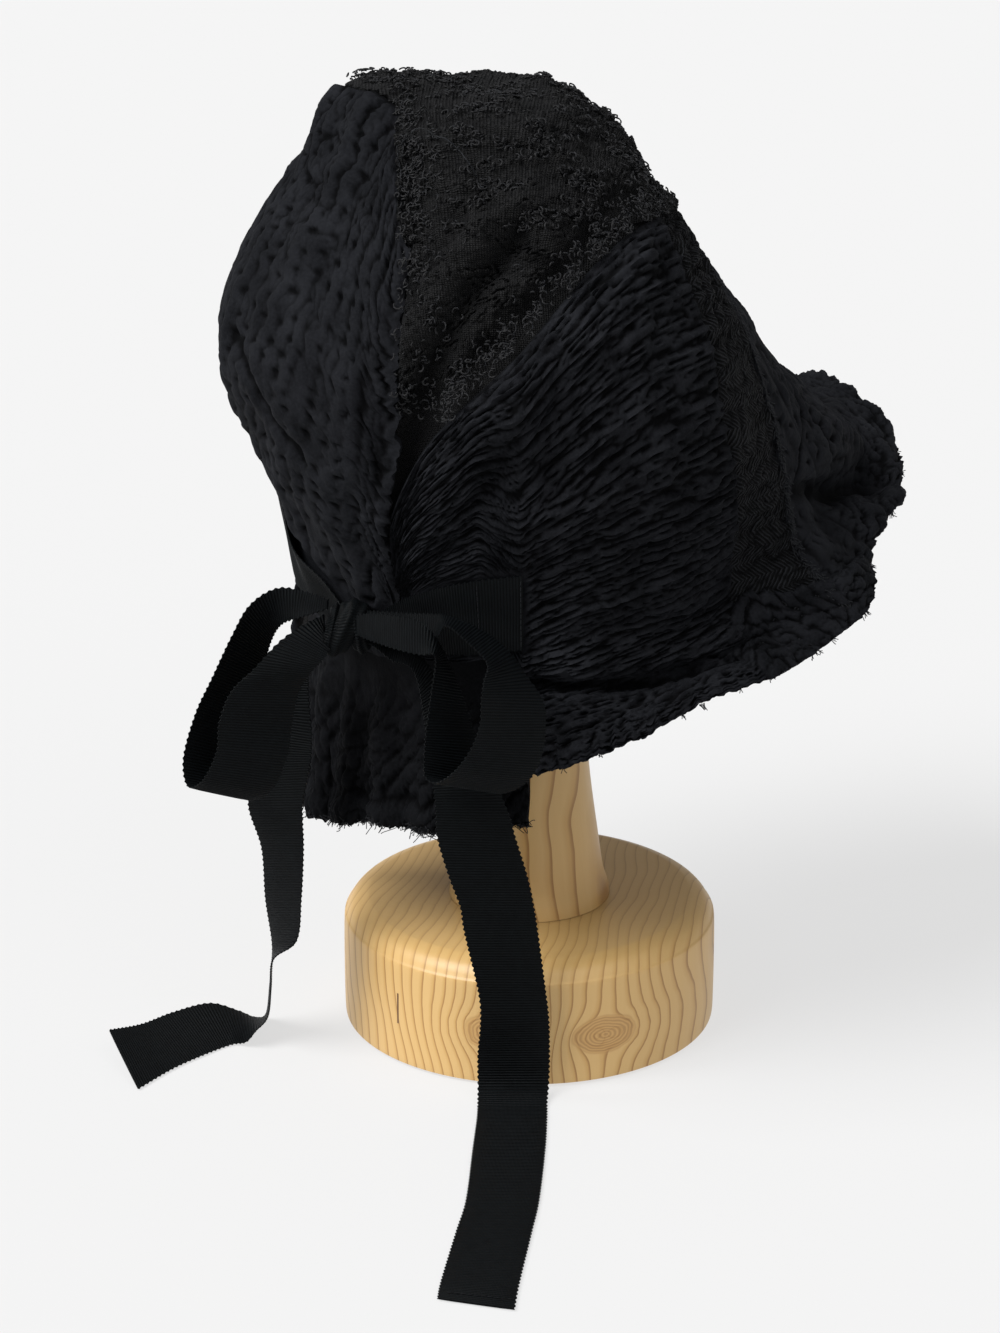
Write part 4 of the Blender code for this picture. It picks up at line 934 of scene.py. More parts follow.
def nape_curtain(surface):
    rows, columns = 75, 240
    share = np.linspace(0, 1, rows + 1)[:, None] + np.zeros((1, columns + 1))
    part = np.zeros((rows + 1, 1)) + np.linspace(0, 1, columns + 1)[None, :]
    hem = 1 + CURTAIN_FRAY * (noise(part * 60, part * 0, 91) + 0.6 * noise(part * 140, part * 0, 92))
    place, fall = curtain_place(part, share * hem)
    u, v = lengths(place, 1), lengths(place, 0)
    crinkle = puffs(u, v, 0.020, 0.0110, 93) - 0.6
    gathers = puffs(v, u, 0.030, 0.0130, 94) - 0.6
    rough = puffs(u, v, 0.0085, 0.0060, 95) - 0.6
    hem_roll_here = np.exp(-(((1 - share) * rows - 5) / 4)**2)
    hem_groove = np.exp(-(((1 - share) * rows - 11) / 3)**2)
    height = (fall * (0.0016 * crinkle + 0.0022 * gathers + 0.0008 * rough)
              + 0.0014 * hem_roll_here - 0.0010 * hem_groove)
    normal = grid_normals(place)
    outer = place + normal * height[..., None]
    inner = place + normal * (0.6 * height - CURTAIN_CLOTH)[..., None]
    # hollow share: painted shade in the curtain's crinkles
    piece = skin("nape_curtain_cloth", outer, inner, np.stack([u, v], -1), 3,
                 hollows(height, 0.0012))
    finish_piece(piece, "nape_curtain", surface)
    cut_cloth(place, 1.2)
    return piece


CURTAIN_FRAY = 0.028     # raggedness of the curtain's hem, share of its length


RIB = 0.00115            # grosgrain ribs and how high they stand
RIB_HEIGHT = 0.00022
PICOT = 0.00055          # scallops of the ribbon's edges, two ribs long
RIBBON_BODY = 0.00055    # ribbon between its ribs


def even_spacing(line, *others):
    """Lines sampled again, four places to each rib by the run of the first."""
    run = np.concatenate([[0], np.cumsum(np.linalg.norm(np.diff(line, axis=0), axis=1))])
    count = max(8, round(run[-1] / RIB * 4))
    at = np.linspace(0, run[-1], count + 1)
    spaced = [np.stack([np.interp(at, run, one[:, k]) for k in range(one.shape[1])], -1)
              for one in (line,) + others]
    return at, spaced


def grosgrain(name, first, second, cup=0.0, columns=7):
    """Ribbed ribbon between two edge lines of the same length."""
    middle = 0.5 * (first + second)
    run, (_, first, second) = even_spacing(middle, first, second)
    across = np.linspace(0, 1, columns)
    grid = first[:, None] + (second - first)[:, None] * across[None, :, None]
    normal = smoothed(grid_normals(grid))
    side = second - first
    width = np.linalg.norm(side, axis=1, keepdims=True)
    side = (side / np.maximum(width, 1e-9))[:, None]
    picot = PICOT * 0.5 * (1 + np.cos(math.pi * run / RIB))[:, None, None]
    outward = np.zeros(columns)
    outward[0], outward[-1] = -1, 1
    grid = grid + side * picot * outward[None, :, None]
    grid = grid + normal * (cup * np.sin(math.pi * across))[None, :, None]
    rib = RIB_HEIGHT * 0.5 * (1 + np.cos(2 * math.pi * run / RIB))
    half = (0.5 * RIBBON_BODY + rib)[:, None] * (0.55 + 0.45 * np.sin(math.pi * across)**0.3)[None, :]
    uv = np.stack([np.broadcast_to(run[:, None], half.shape),
                   np.broadcast_to(across * width.mean(), half.shape)], -1)
    return skin(name + "_grosgrain", grid + normal * half[..., None], grid - normal * half[..., None], uv, 1)


def smoothed(normal):
    """Normals averaged over a few rows, so that ribs don't kink at a bend."""
    padded = np.pad(normal, ((3, 3), (0, 0), (0, 0)), mode="edge")
    total = sum(padded[k:k + len(normal)] for k in range(7))
    return total / np.maximum(np.linalg.norm(total, axis=-1, keepdims=True), 1e-12)


def loose_ribbon(name, table, surface, cup=0.0):
    table = np.array(table)
    first = smooth_line(bow_place(clear_of_knot(table[:, :3])), 12)
    second = smooth_line(bow_place(clear_of_knot(table[:, 3:])), 12)
    piece = grosgrain(name, first, second, cup)
    finish_piece(piece, name, surface)
    return piece


def band(name, rows_table, surface):
    count = 400
    direction = np.linspace(rows_table[0][0], rows_table[-1][0], count)
    lines = []
    for column, lift_column in ((1, 3), (2, 4)):
        level = along(rows_table, column, direction)
        off = 2.5 * GAP + along(rows_table, lift_column, direction) * CROWN_REACH + 0.5 * RIBBON
        lines.append(hat_point(direction, level) + off[:, None] * hat_normal(direction, level))
    piece = grosgrain(name, lines[0], lines[1], 0.0004)
    finish_piece(piece, name, surface)
    return piece


# Wraps of the knot: how far they sit to the right, their width and lean across the
# knot, and their reach as a share of the knot's own.
WRAPS = (
    # across, width, lean, reach
    (-0.0008, 0.0120, 0.0042, 1.00),
    (0.0045, 0.0070, -0.0016, 0.90),
    (-0.0052, 0.0050, 0.0020, 0.86),
)


def bow_knot(surface):
    """Ribbon wound three times round the bow's middle, pleated along its length."""
    across_axis = np.array([-math.cos(math.radians(BOW_TURN)), -math.sin(math.radians(BOW_TURN)), 0.0])
    out_axis = np.array([-math.sin(math.radians(BOW_TURN)), math.cos(math.radians(BOW_TURN)), 0.0])
    centre = bow_place(KNOT)
    half = np.array(KNOT_HALF) * CROWN_REACH
    grids = []
    for across, width, lean, reach in WRAPS:
        perimeter = 2 * math.pi * (half[1] + half[2]) / 2 * reach
        rows = 4 * round(perimeter / RIB)
        turn = np.linspace(0, 2 * math.pi, rows + 1)[:, None]
        part = np.linspace(-1, 1, 15)[None, :]
        round_off = np.sqrt(np.maximum(1 - 0.55 * part**2, 0))
        pleat = 0.00045 * np.cos(part * 7.5 + 0.6 * np.sin(turn))
        rib = RIB_HEIGHT * np.cos(2 * math.pi * (turn * perimeter / (2 * math.pi) + 0.18 * width * part) / RIB)
        far = reach * round_off
        out = (half[1] * far + pleat + rib) * np.sin(turn)
        high = (half[2] * far + pleat + rib) * np.cos(turn)
        side = across + lean * np.cos(turn) + 0.5 * width * part
        grids.append(centre + side[..., None] * across_axis + out[..., None] * out_axis
                     + high[..., None] * np.array([0, 0, 1.0]))
    points, faces, uv, start = [], [], [], 0
    for grid in grids:
        rows, columns = grid.shape[:2]
        inner = centre + (grid - centre) * 0.82
        points += [grid.reshape(-1, 3), inner.reshape(-1, 3)]
        count = rows * columns
        ring = border(rows, columns, 1)
        rim = np.stack([ring, ring + count, np.roll(ring, -1) + count, np.roll(ring, -1)], -1)
        faces += [quads(rows, columns)[:, ::-1] + start,
                  quads(rows, columns) + count + start, rim[:, ::-1] + start]
        run = np.linspace(0, 0.06, rows)[:, None] + np.zeros((1, columns))
        wide = np.zeros((rows, 1)) + np.linspace(0, 0.012, columns)[None, :]
        uv += [np.stack([run, wide], -1).reshape(-1, 2)] * 2
        start += 2 * count
    piece = mesh_piece("bow_knot_grosgrain", np.concatenate(points), faces, np.concatenate(uv))
    finish_piece(piece, "bow_knot", surface)
    return piece


def tubes(name, paths, radius, surface, sides=3):
    """Many short threads as one mesh.  paths: threads, places along each, three."""
    tangent = np.gradient(paths, axis=1)
    tangent /= np.maximum(np.linalg.norm(tangent, axis=-1, keepdims=True), 1e-12)
    spare = np.where(np.abs(tangent[..., 2:3]) < 0.8, [0.0, 0.0, 1.0], [1.0, 0.0, 0.0])
    first = np.cross(tangent, spare)
    first /= np.linalg.norm(first, axis=-1, keepdims=True)
    second = np.cross(tangent, first)
    ring = np.arange(sides) * 2 * math.pi / sides
    count, long = paths.shape[:2]
    thick = np.full((count, long, 1, 1), radius)
    points = (paths[:, :, None] + thick * (np.cos(ring)[:, None] * first[:, :, None]
                                           + np.sin(ring)[:, None] * second[:, :, None]))
    index = np.arange(count * long * sides).reshape(count, long, sides)
    after = np.roll(index, -1, axis=2)
    walls = np.stack([index[:, :-1], after[:, :-1], after[:, 1:], index[:, 1:]], -1).reshape(-1, 4)
    ends = np.concatenate([index[:, 0, ::-1], index[:, -1]])
    piece = mesh_piece(name, points.reshape(-1, 3), [walls, ends], None, 180.0)
    piece.data.materials.append(surface)
    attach(piece, "root")
    return piece


def surface_frame(direction, level, lift=0.0):
    """Place, normal, and the ways across and down at places on the hat."""
    place, normal = hat_point(direction, level), hat_normal(direction, level)
    across = hat_point(direction + 0.3, level) - hat_point(direction - 0.3, level)
    across /= np.maximum(np.linalg.norm(across, axis=-1, keepdims=True), 1e-12)
    down = np.cross(across, normal)
    return place + normal * np.asarray(lift)[..., None], normal, across, down


def curls(direction, level, size, rng, lift=0.0002, places=8, arc=(1.3, 3.7)):
    """Small loops of yarn standing in the cloth."""
    place, normal, across, down = surface_frame(direction, level, lift)
    count = len(direction)
    heading = rng.uniform(0, 2 * math.pi, count)[:, None]
    way = across * np.cos(heading) + down * np.sin(heading)
    side = np.cross(normal, way)
    stand = rng.uniform(0.10, 0.75, count)[:, None]
    rise = normal * stand + side * np.sqrt(1 - stand**2)
    sweep = rng.uniform(arc[0], arc[1], count)[:, None]
    turn = (np.linspace(-0.5, 0.5, places)[None, :] * sweep)[..., None]
    radius = (size * (0.45 + 0.95 * rng.beta(1.3, 2.4, count)))[:, None, None]
    twist = rng.uniform(-0.5, 0.5, count)[:, None, None]
    return (place[:, None] + radius * (np.sin(turn) * way[:, None]
                                       + (np.cos(turn) - np.cos(0.5 * sweep)[..., None]) * rise[:, None]
                                       + twist * turn * 0.35 * side[:, None]))


def frays(direction, level, out, length, rng, places=8, start=0.0):
    """Loose thread ends leaving an edge: out is the share of the normal in their heading."""
    place, normal, across, down = surface_frame(direction, level, start)
    count = len(direction)
    lean = rng.uniform(-0.7, 0.7, count)[:, None]
    way = down + across * lean + normal * (out * rng.uniform(-0.3, 1.0, count)[:, None])
    way /= np.linalg.norm(way, axis=-1, keepdims=True)
    bend = np.cross(way, normal) * rng.uniform(-1, 1, count)[:, None] + normal * rng.uniform(-0.6, 0.6, count)[:, None]
    at = np.linspace(0, 1, places)[None, :, None]
    long = (length * rng.uniform(0.35, 1.0, count))[:, None, None]
    return place[:, None] + long * (at * way[:, None] + 0.45 * at**2 * bend[:, None])


# Seams and edges that yarn has come loose from: direction and level along each.
CROWN_BACK_EDGE = ((-30, 2.00), (-9.5, 1.85), (10.5, 2.25), (17, 2.60), (21, 3.00), (25.5, 3.5),
                   (28.5, 3.95), (30.0, 4.4), (30.5, 4.9), (31.0, 5.3))
CROWN_SIDE_EDGE = ((92, 3.36), (80, 3.50), (70, 3.74), (61, 4.12), (52, 4.60), (43, 5.05),
                   (39, 5.28))
CROWN_FRONT_EDGE = ((92, 3.38), (120, 3.20), (150, 3.00), (180, 2.90), (210, 2.90), (240, 2.85),
                    (270, 2.65), (300, 2.35), (330, 2.10))
LONG_THREADS = (
    ((28.0, 2.41), (25.0, 2.36), (22.0, 2.35), (19.0, 2.39), (17.5, 2.53), (18.0, 2.66),
     (19.0, 2.78), (21.0, 2.92), (21.5, 3.09)),
    ((27.0, 2.38), (30.0, 2.43), (33.0, 2.47), (35.5, 2.54), (37.0, 2.61), (39.5, 2.73),
     (41.5, 2.88), (43.0, 2.98)),
)
CURL_COUNT = {"edge": 800, "field": 2000, "front": 260}
YARN = 0.00034           # half the thickness of the crown's looped yarn
THREAD = 0.00014         # and of sewing thread


def on_line(line, count, rng, scatter):
    """Places scattered on one side of a line of (direction, level): by degrees and levels."""
    line = np.array(line, float)
    at = rng.uniform(0, len(line) - 1, count)
    whole = np.minimum(at.astype(int), len(line) - 2)
    place = line[whole] + (line[whole + 1] - line[whole]) * (at - whole)[:, None]
    patchy = noise(at * 2.7, at * 0, 69) + rng.normal(0, 0.25, count) > -0.1
    far = np.abs(rng.normal(0, 1, count))
    return ((place[:, 0] + far * scatter[0] + rng.normal(0, 0.5, count))[patchy],
            (place[:, 1] + far * scatter[1] + rng.normal(0, 0.03, count))[patchy])


def yarn_base(direction, level):
    """Height of the crown's cloth under its loose yarn, which follows it into the folds."""
    return np.clip(0.9 * crown_relief(direction, level), -0.0060, 0.0020)


def crown_yarn(surface):
    """Loops of yarn along the crown piece's raw edges and in rough clusters on it."""
    rng = np.random.default_rng(7)
    parts = []
    for line, count, scatter in ((CROWN_BACK_EDGE, CURL_COUNT["edge"], (4.6, -0.06)),
                                 (CROWN_SIDE_EDGE, CURL_COUNT["edge"], (0.4, -0.24)),
                                 (CROWN_FRONT_EDGE, CURL_COUNT["front"], (0.0, -0.06))):
        direction, level = on_line(line, count, rng, scatter)
        level = np.maximum(level, 0.1)
        parts.append(curls(direction, level, 0.0014, rng, 0.0012 + yarn_base(direction, level)))
    direction = rng.uniform(-60, 200, 9000)
    level = 3.4 * np.sqrt(rng.uniform(0, 1, 9000))
    u, v = crown_places(direction, level)
    rough = noise(u / 0.030, v / 0.009, 61) + 0.5 * noise(u / 0.012, v / 0.006, 68)
    inside = level < along(TOP_SEAM, 1, np.where(direction < 28, direction + 360, direction)) - 0.1
    chosen = np.flatnonzero((rough > 0.10) & inside)[:CURL_COUNT["field"]]
    direction, level = direction[chosen], level[chosen]
    parts.append(curls(direction, level, 0.0013, rng, 0.0006 + yarn_base(direction, level)))
    paths = np.concatenate(parts)
    return tubes("crown_yarn_loops", paths, YARN, surface)


def long_threads(surface):
    """The long threads lying loose on the crown."""
    paths = []
    for line in LONG_THREADS:
        line = np.array(line, float)
        fine = smooth_line(np.column_stack([line, np.zeros(len(line))]), 6)
        direction, level = fine[:, 0], fine[:, 1]
        along_it = np.linspace(0, 1, len(fine))
        lift = 0.0022 + 0.0022 * np.sin(math.pi * along_it * 2.5)**2
        lift = lift + yarn_base(direction, level)
        paths.append(hat_point(direction, level) + lift[:, None] * hat_normal(direction, level))
    shortest = min(len(p) for p in paths)
    return tubes("crown_long_threads", np.stack([p[:shortest] for p in paths]), 0.00024, surface)


def brim_frays(surface):
    """Thread ends along the brim, the ragged strip and the hem of the nape curtain."""
    rng = np.random.default_rng(11)
    direction = rng.uniform(56, 305, 1300)
    tufts = noise(direction / 3.0, direction * 0, 74) > 0.22
    direction = direction[tufts]
    level = along(FOOT_SEAM, 1, direction) - rng.uniform(0.02, 0.06, len(direction))
    paths = [frays(direction, level, 0.5, 0.0030, rng)]
    share = rng.uniform(0.18, 0.95, 300)
    direction = along(WEAVE_SEAM_FRONT, 1, share) - rng.uniform(0.5, 2.5, 300)
    paths.append(frays(direction, lerp_level(direction, share), 1.0, 0.0030, rng, start=0.0012))
    part, start = rng.uniform(0, 1, 420), np.full(420, 0.985)
    place, _ = curtain_place(part, start)
    fall = np.stack([rng.normal(0, 0.5, 420), rng.normal(0, 0.5, 420), rng.uniform(-1.0, 0.2, 420)], -1)
    bend = rng.normal(0, 0.5, (420, 3))
    at = np.linspace(0, 1, 8)[None, :, None]
    long = rng.uniform(0.0012, 0.0040, 420)[:, None, None]
    curl = np.sin(at * rng.uniform(2, 5, 420)[:, None, None])
    paths.append(place[:, None] + long * (at * fall[:, None] + 0.8 * curl * bend[:, None]))
    return tubes("edge_frays", np.concatenate(paths), THREAD * 1.3, surface)


def stitch_row(name, line, surface, spacing=0.0024):
    """A row of short stitches along a line of places, each standing on the cloth."""
    run = np.concatenate([[0], np.cumsum(np.linalg.norm(np.diff(line, axis=0), axis=1))])
    starts = np.arange(spacing * 0.3, run[-1] - spacing, spacing)
    at = starts[:, None] + np.linspace(0, 0.7 * spacing, 4)[None, :]
    paths = np.stack([np.interp(at, run, line[:, k]) for k in range(3)], -1)
    return tubes(name, paths, THREAD, surface)


def ribbon_stitches(surface):
    """Stitching across the right tail's hem and down the right band's sewn end."""
    table = np.array(TAIL_RIGHT[-2:])
    ends = [bow_place(table[:, :3]), bow_place(table[:, 3:])]
    share = TAIL_STITCH_BACK / np.linalg.norm(ends[0][1] - ends[0][0])
    line = np.stack([end[1] + (end[0] - end[1]) * share for end in ends])
    line[:, 2] += 0.5 * RIBBON + RIB_HEIGHT
    stitch_row("tail_hem_stitches", np.linspace(line[0], line[1], 20), surface)
    for name, short in (("band_end_stitches", 0.35), ("band_seam_stitches", 9.5)):
        direction = np.full(20, BAND_RIGHT[-1][0] - short)
        upper, lower = (float(along(BAND_RIGHT, c, direction[:1])[0]) for c in (1, 2))
        level = np.linspace(upper + 0.03, lower - 0.03, 20)
        lift = 2.5 * GAP + RIBBON + RIB_HEIGHT
        stitch_row(name, hat_point(direction, level) + lift * hat_normal(direction, level), surface)


TAIL_STITCH_BACK = 0.0056


def lathe(name, node, outline, surface, count=144, sharp=35.0):
    """Turned solid, outline as (radius, height) from its foot to its top."""
    turn = np.arange(count) * 2 * math.pi / count
    ring = np.stack([np.cos(turn), np.sin(turn)], -1)
    outline = np.array(outline)
    points = np.concatenate([outline[:, :1, None] * ring[None], np.broadcast_to(
        outline[:, 1:2, None], (len(outline), count, 1))], -1)
    index = np.arange(len(outline) * count).reshape(len(outline), count)
    after = np.roll(index, -1, axis=1)
    walls = np.stack([index[:-1], after[:-1], after[1:], index[1:]], -1).reshape(-1, 4)
    piece = mesh_piece(name, points.reshape(-1, 3), [walls, index[:1, ::-1], index[-1:]], None, sharp)
    finish_piece(piece, node, surface)
    return piece


def stand(surface, post_surface):
    """Base and post of the stand, smoothly turned.  The head stays as the part has it."""
    head_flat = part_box("stand_head")[0][2]
    base = np.array([(r * BASE_RADIUS, z * BASE_HEIGHT, 0) for r, z in BASE_OUTLINE])
    lathe("stand_base_wood", "stand_base", smooth_line(base, 5)[:, :2], surface)
    foot = BASE_HEIGHT + GAP
    post = np.array([(r * BASE_RADIUS, foot + z * (head_flat - GAP - foot), 0)
                     for r, z in POST_OUTLINE])
    lathe("stand_post_wood", "stand_post", smooth_line(post, 5)[:, :2], post_surface, 96)
    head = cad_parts["stand_head"]
    for place in head.material_slots:
        place.material = surface


class Shade:
    """A material under construction, with short ways to wire its nodes."""

    def __init__(self, name, roughness, sheen=0.0, specular=0.5):
        self.material = bpy.data.materials.new(name)
        self.material.use_nodes = True
        self.tree = self.material.node_tree
        self.shader = self.tree.nodes["Principled BSDF"]
        self.shader.inputs["Roughness"].default_value = roughness
        self.shader.inputs["Sheen Weight"].default_value = sheen
        self.shader.inputs["Sheen Roughness"].default_value = 0.45
        self.shader.inputs["Sheen Tint"].default_value = (0.75, 0.82, 1.0, 1.0)
        self.shader.inputs["Specular IOR Level"].default_value = specular

    def node(self, kind, **inputs):
        made = self.tree.nodes.new(kind)
        for label, value in inputs.items():
            self.give(value, made.inputs[label.replace("_", " ")])
        return made

    def give(self, value, socket):
        if isinstance(value, bpy.types.NodeSocket):
            self.tree.links.new(value, socket)
        else:
            socket.default_value = value

    def math(self, operation, first, second=0.0, third=0.0):
        made = self.tree.nodes.new("ShaderNodeMath")
        made.operation = operation
        for value, socket in zip((first, second, third), made.inputs):
            self.give(value, socket)
        return made.outputs[0]

    def dot(self, place, way):
        made = self.tree.nodes.new("ShaderNodeVectorMath")
        made.operation = "DOT_PRODUCT"
        self.give(place, made.inputs[0])
        self.give(way, made.inputs[1])
        return made.outputs["Value"]

    def place(self):
        return self.tree.nodes.new("ShaderNodeTexCoord").outputs["Object"]

    def cloth_uv(self):
        made = self.tree.nodes.new("ShaderNodeUVMap")
        made.uv_map = "cloth"
        split = self.node("ShaderNodeSeparateXYZ", Vector=made.outputs[0])
        return split.outputs["X"], split.outputs["Y"]

    def noise(self, scale, detail=3.0, roughness=0.5, vector=None, distortion=0.0):
        made = self.node("ShaderNodeTexNoise", Vector=vector or self.place(), Scale=scale,
                         Detail=detail, Roughness=roughness, Distortion=distortion)
        return made.outputs["Fac"]

    def wave(self, value, pitch):
        """From 0 to 1 and back once every pitch."""
        turned = self.math("SINE", self.math("MULTIPLY", value, 2 * math.pi / pitch))
        return self.math("MULTIPLY_ADD", turned, 0.5, 0.5)

    def hollow(self, colour, depth, dark):
        """Painted shade: colour darkened towards a near-black where the cloth lies deep between its puffs, in its
        creases and in the crown's deep fold.
        """
        made = self.tree.nodes.new("ShaderNodeAttribute")
        made.attribute_name = "hollow"
        share = self.math("MULTIPLY", self.math("POWER", made.outputs["Fac"], 1.5), depth)
        self.colour(self.mix(share, colour, (*dark, 1.0)))

    def ramp(self, value, stops):
        made = self.node("ShaderNodeValToRGB", Fac=value)
        edges = made.color_ramp.elements
        while len(edges) < len(stops):
            edges.new(1.0)
        for edge, (at, colour) in zip(edges, stops):
            edge.position = at
            edge.color = (*colour, 1.0)
        return made.outputs["Color"]

    def mix(self, share, first, second):
        made = self.tree.nodes.new("ShaderNodeMix")
        made.data_type = "RGBA"
        for value, socket in ((share, made.inputs[0]), (first, made.inputs[6]),
                              (second, made.inputs[7])):
            self.give(value, socket)
        return made.outputs[2]

    def bump(self, heights):
        """Adds heights, each with its real height in metres, on top of one another."""
        normal = None
        for height, metres in heights:
            made = self.node("ShaderNodeBump", Height=height, Distance=metres, Strength=1.0)
            if normal is not None:
                self.give(normal, made.inputs["Normal"])
            normal = made.outputs["Normal"]
        self.give(normal, self.shader.inputs["Normal"])

    def colour(self, colour):
        self.give(colour, self.shader.inputs["Base Color"])

    def rough(self, value):
        self.give(value, self.shader.inputs["Roughness"])


COTTON_DARK, COTTON_LIGHT = (0.0022, 0.0024, 0.0031), (0.0125, 0.0132, 0.0158)
KNIT_DARK, KNIT_LIGHT = (0.0010, 0.0011, 0.0012), (0.0200, 0.0197, 0.0205)
RIBBON_DARK, RIBBON_LIGHT = (0.0003, 0.0004, 0.0005), (0.0030, 0.0042, 0.0050)
# near-black of the painted shade in the cloth's hollows and creases
PAINTED_SHADE = (0.0006, 0.0006, 0.0008)
COTTON_YARN = 0.00055    # pitch of the quilting's plain weave


def cotton(name, shadow_dimming=1.0):
    """Matt quilted cotton: plain weave, faint wear, lint."""
    shade = Shade(name, 0.88, 0.006, 0.05)
    worn = shade.noise(55, 5, 0.6)
    lint = shade.noise(900, 2, 0.6)
    tone = shade.math("MULTIPLY_ADD", lint, 0.35, shade.math("MULTIPLY", worn, 0.75))
    # a share below 1 darkens the whole cloth: painted shade, for cloth lying in the bow's shadow
    dark, light = (tuple(shadow_dimming * c for c in colour) for colour in (COTTON_DARK, COTTON_LIGHT))
    # the cloth's hollows and creases take painted shade, up to 0.92 of the way to near-black
    shade.hollow(shade.ramp(tone, ((0.30, dark), (0.72, light))), 0.92, PAINTED_SHADE)
    u, v = shade.cloth_uv()
    weave = shade.math("MULTIPLY", shade.wave(u, COTTON_YARN), shade.wave(v, COTTON_YARN))
    shade.bump(((weave, 0.00006), (shade.noise(420, 4, 0.65), 0.00035)))
    return shade.material


def knit():
    """Dark looped knit: fine ribs with slubs between rough bands."""
    shade = Shade("looped_knit", 0.75, 0.008, 0.14)
    u, v = shade.cloth_uv()
    wobble = shade.math("MULTIPLY", shade.noise(260, 2), 0.0008)
    ribs = shade.wave(shade.math("ADD", u, wobble), KNIT_WALE)
    courses = shade.wave(shade.math("ADD", v, wobble), 0.0011)
    slubs = shade.math("MULTIPLY_ADD", shade.noise(1300, 2, 0.7), 0.55, shade.math(
        "MULTIPLY", shade.noise(90, 4, 0.6), 0.35))
    # Ribs and courses: the knit's wales, with their crests painted lighter as a painted highlight; the slubs are the
    # yarn's own uneven tone.
    tone = shade.math("MULTIPLY_ADD", shade.math("MULTIPLY", ribs, courses), 0.28, slubs)
    # the knit's hollows and the deep fold take painted shade, up to 0.95 of the way to near-black
    shade.hollow(shade.ramp(tone, ((0.38, KNIT_DARK), (0.80, KNIT_LIGHT))), 0.95, PAINTED_SHADE)
    shade.bump(((ribs, 0.0006), (courses, 0.0003), (shade.noise(700, 3, 0.7), 0.0006)))
    return shade.material


def zigzag_weave():
    """Fine ribs that turn back and forth in level bands."""
    shade = Shade("zigzag_weave", 0.80, 0.006, 0.10)
    u, v = shade.cloth_uv()
    band = shade.math("PINGPONG", shade.math("ADD", v, shade.math("MULTIPLY", shade.noise(60, 2), 0.006)),
                      ZIGZAG_BAND)
    slanted = shade.math("ADD", u, shade.math("MULTIPLY", band, 1.1))
    ribs = shade.wave(slanted, ZIGZAG_RIB)
    tone = shade.math("MULTIPLY_ADD", ribs, 0.70, shade.math("MULTIPLY", shade.noise(500, 3, 0.7), 0.30))
    # the weave's hollows and creases take painted shade, up to 0.9 of the way to near-black
    shade.hollow(shade.ramp(tone, ((0.30, WEAVE_DARK), (0.85, WEAVE_LIGHT))), 0.9, PAINTED_SHADE)
    shade.bump(((ribs, 0.0016), (shade.noise(500, 3, 0.7), 0.0006)))
    return shade.material


WEAVE_DARK, WEAVE_LIGHT = (0.0004, 0.0005, 0.0006), (0.0150, 0.0160, 0.0185)
ZIGZAG_BAND = 0.0062
ZIGZAG_RIB = 0.0020


def grosgrain_silk():
    """Ribbon with a faint sheen, its warp showing between the ribs."""
    shade = Shade("black_grosgrain", 0.55, 0.004, 0.07)
    u, v = shade.cloth_uv()
    warp = shade.wave(v, 0.00045)
    ribs = shade.wave(shade.math("ADD", u, 0.25 * RIB), RIB)
    tone = shade.math("MULTIPLY_ADD", warp, 0.15, shade.math("MULTIPLY", shade.noise(300, 3), 0.4))
    tone = shade.math("MULTIPLY_ADD", ribs, 0.45, tone)
    shade.colour(shade.ramp(tone, ((0.20, RIBBON_DARK), (0.85, RIBBON_LIGHT))))
    shade.bump(((warp, 0.00004), (ribs, 0.00015)))
    return shade.material


def yarn(name, colour, roughness=0.8, specular=0.2):
    shade = Shade(name, roughness, 0.03, specular)
    shade.colour(shade.mix(shade.noise(400, 2), (*colour, 1.0), tuple(2.2 * c for c in colour) + (1.0,)))
    shade.bump(((shade.noise(2600, 2, 0.7), 0.0001),))
    return shade.material


PINE_LIGHT = (0.610, 0.400, 0.165)
PINE_TAN = (0.520, 0.310, 0.105)
PINE_LINE = (0.280, 0.130, 0.036)
PINE_MEAN = (0.560, 0.360, 0.135)
KNOT_WOOD = (0.500, 0.285, 0.095)
GRAIN_WAY = (-0.731, -0.682)     # level direction across the growth lines
GRAIN_PITCH = 0.0042
POST_GRAIN_WAY = (-0.60, -0.80)
# Knots in the side of the base: direction, height, half height, push on the grain.
WOOD_KNOTS = ((78.0, 0.0200, 0.0078, 0.020), (45.0, 0.0230, 0.0078, 0.022))
SPLIT_DIRECTION, SPLIT_HEIGHT = 11.1, 0.0240


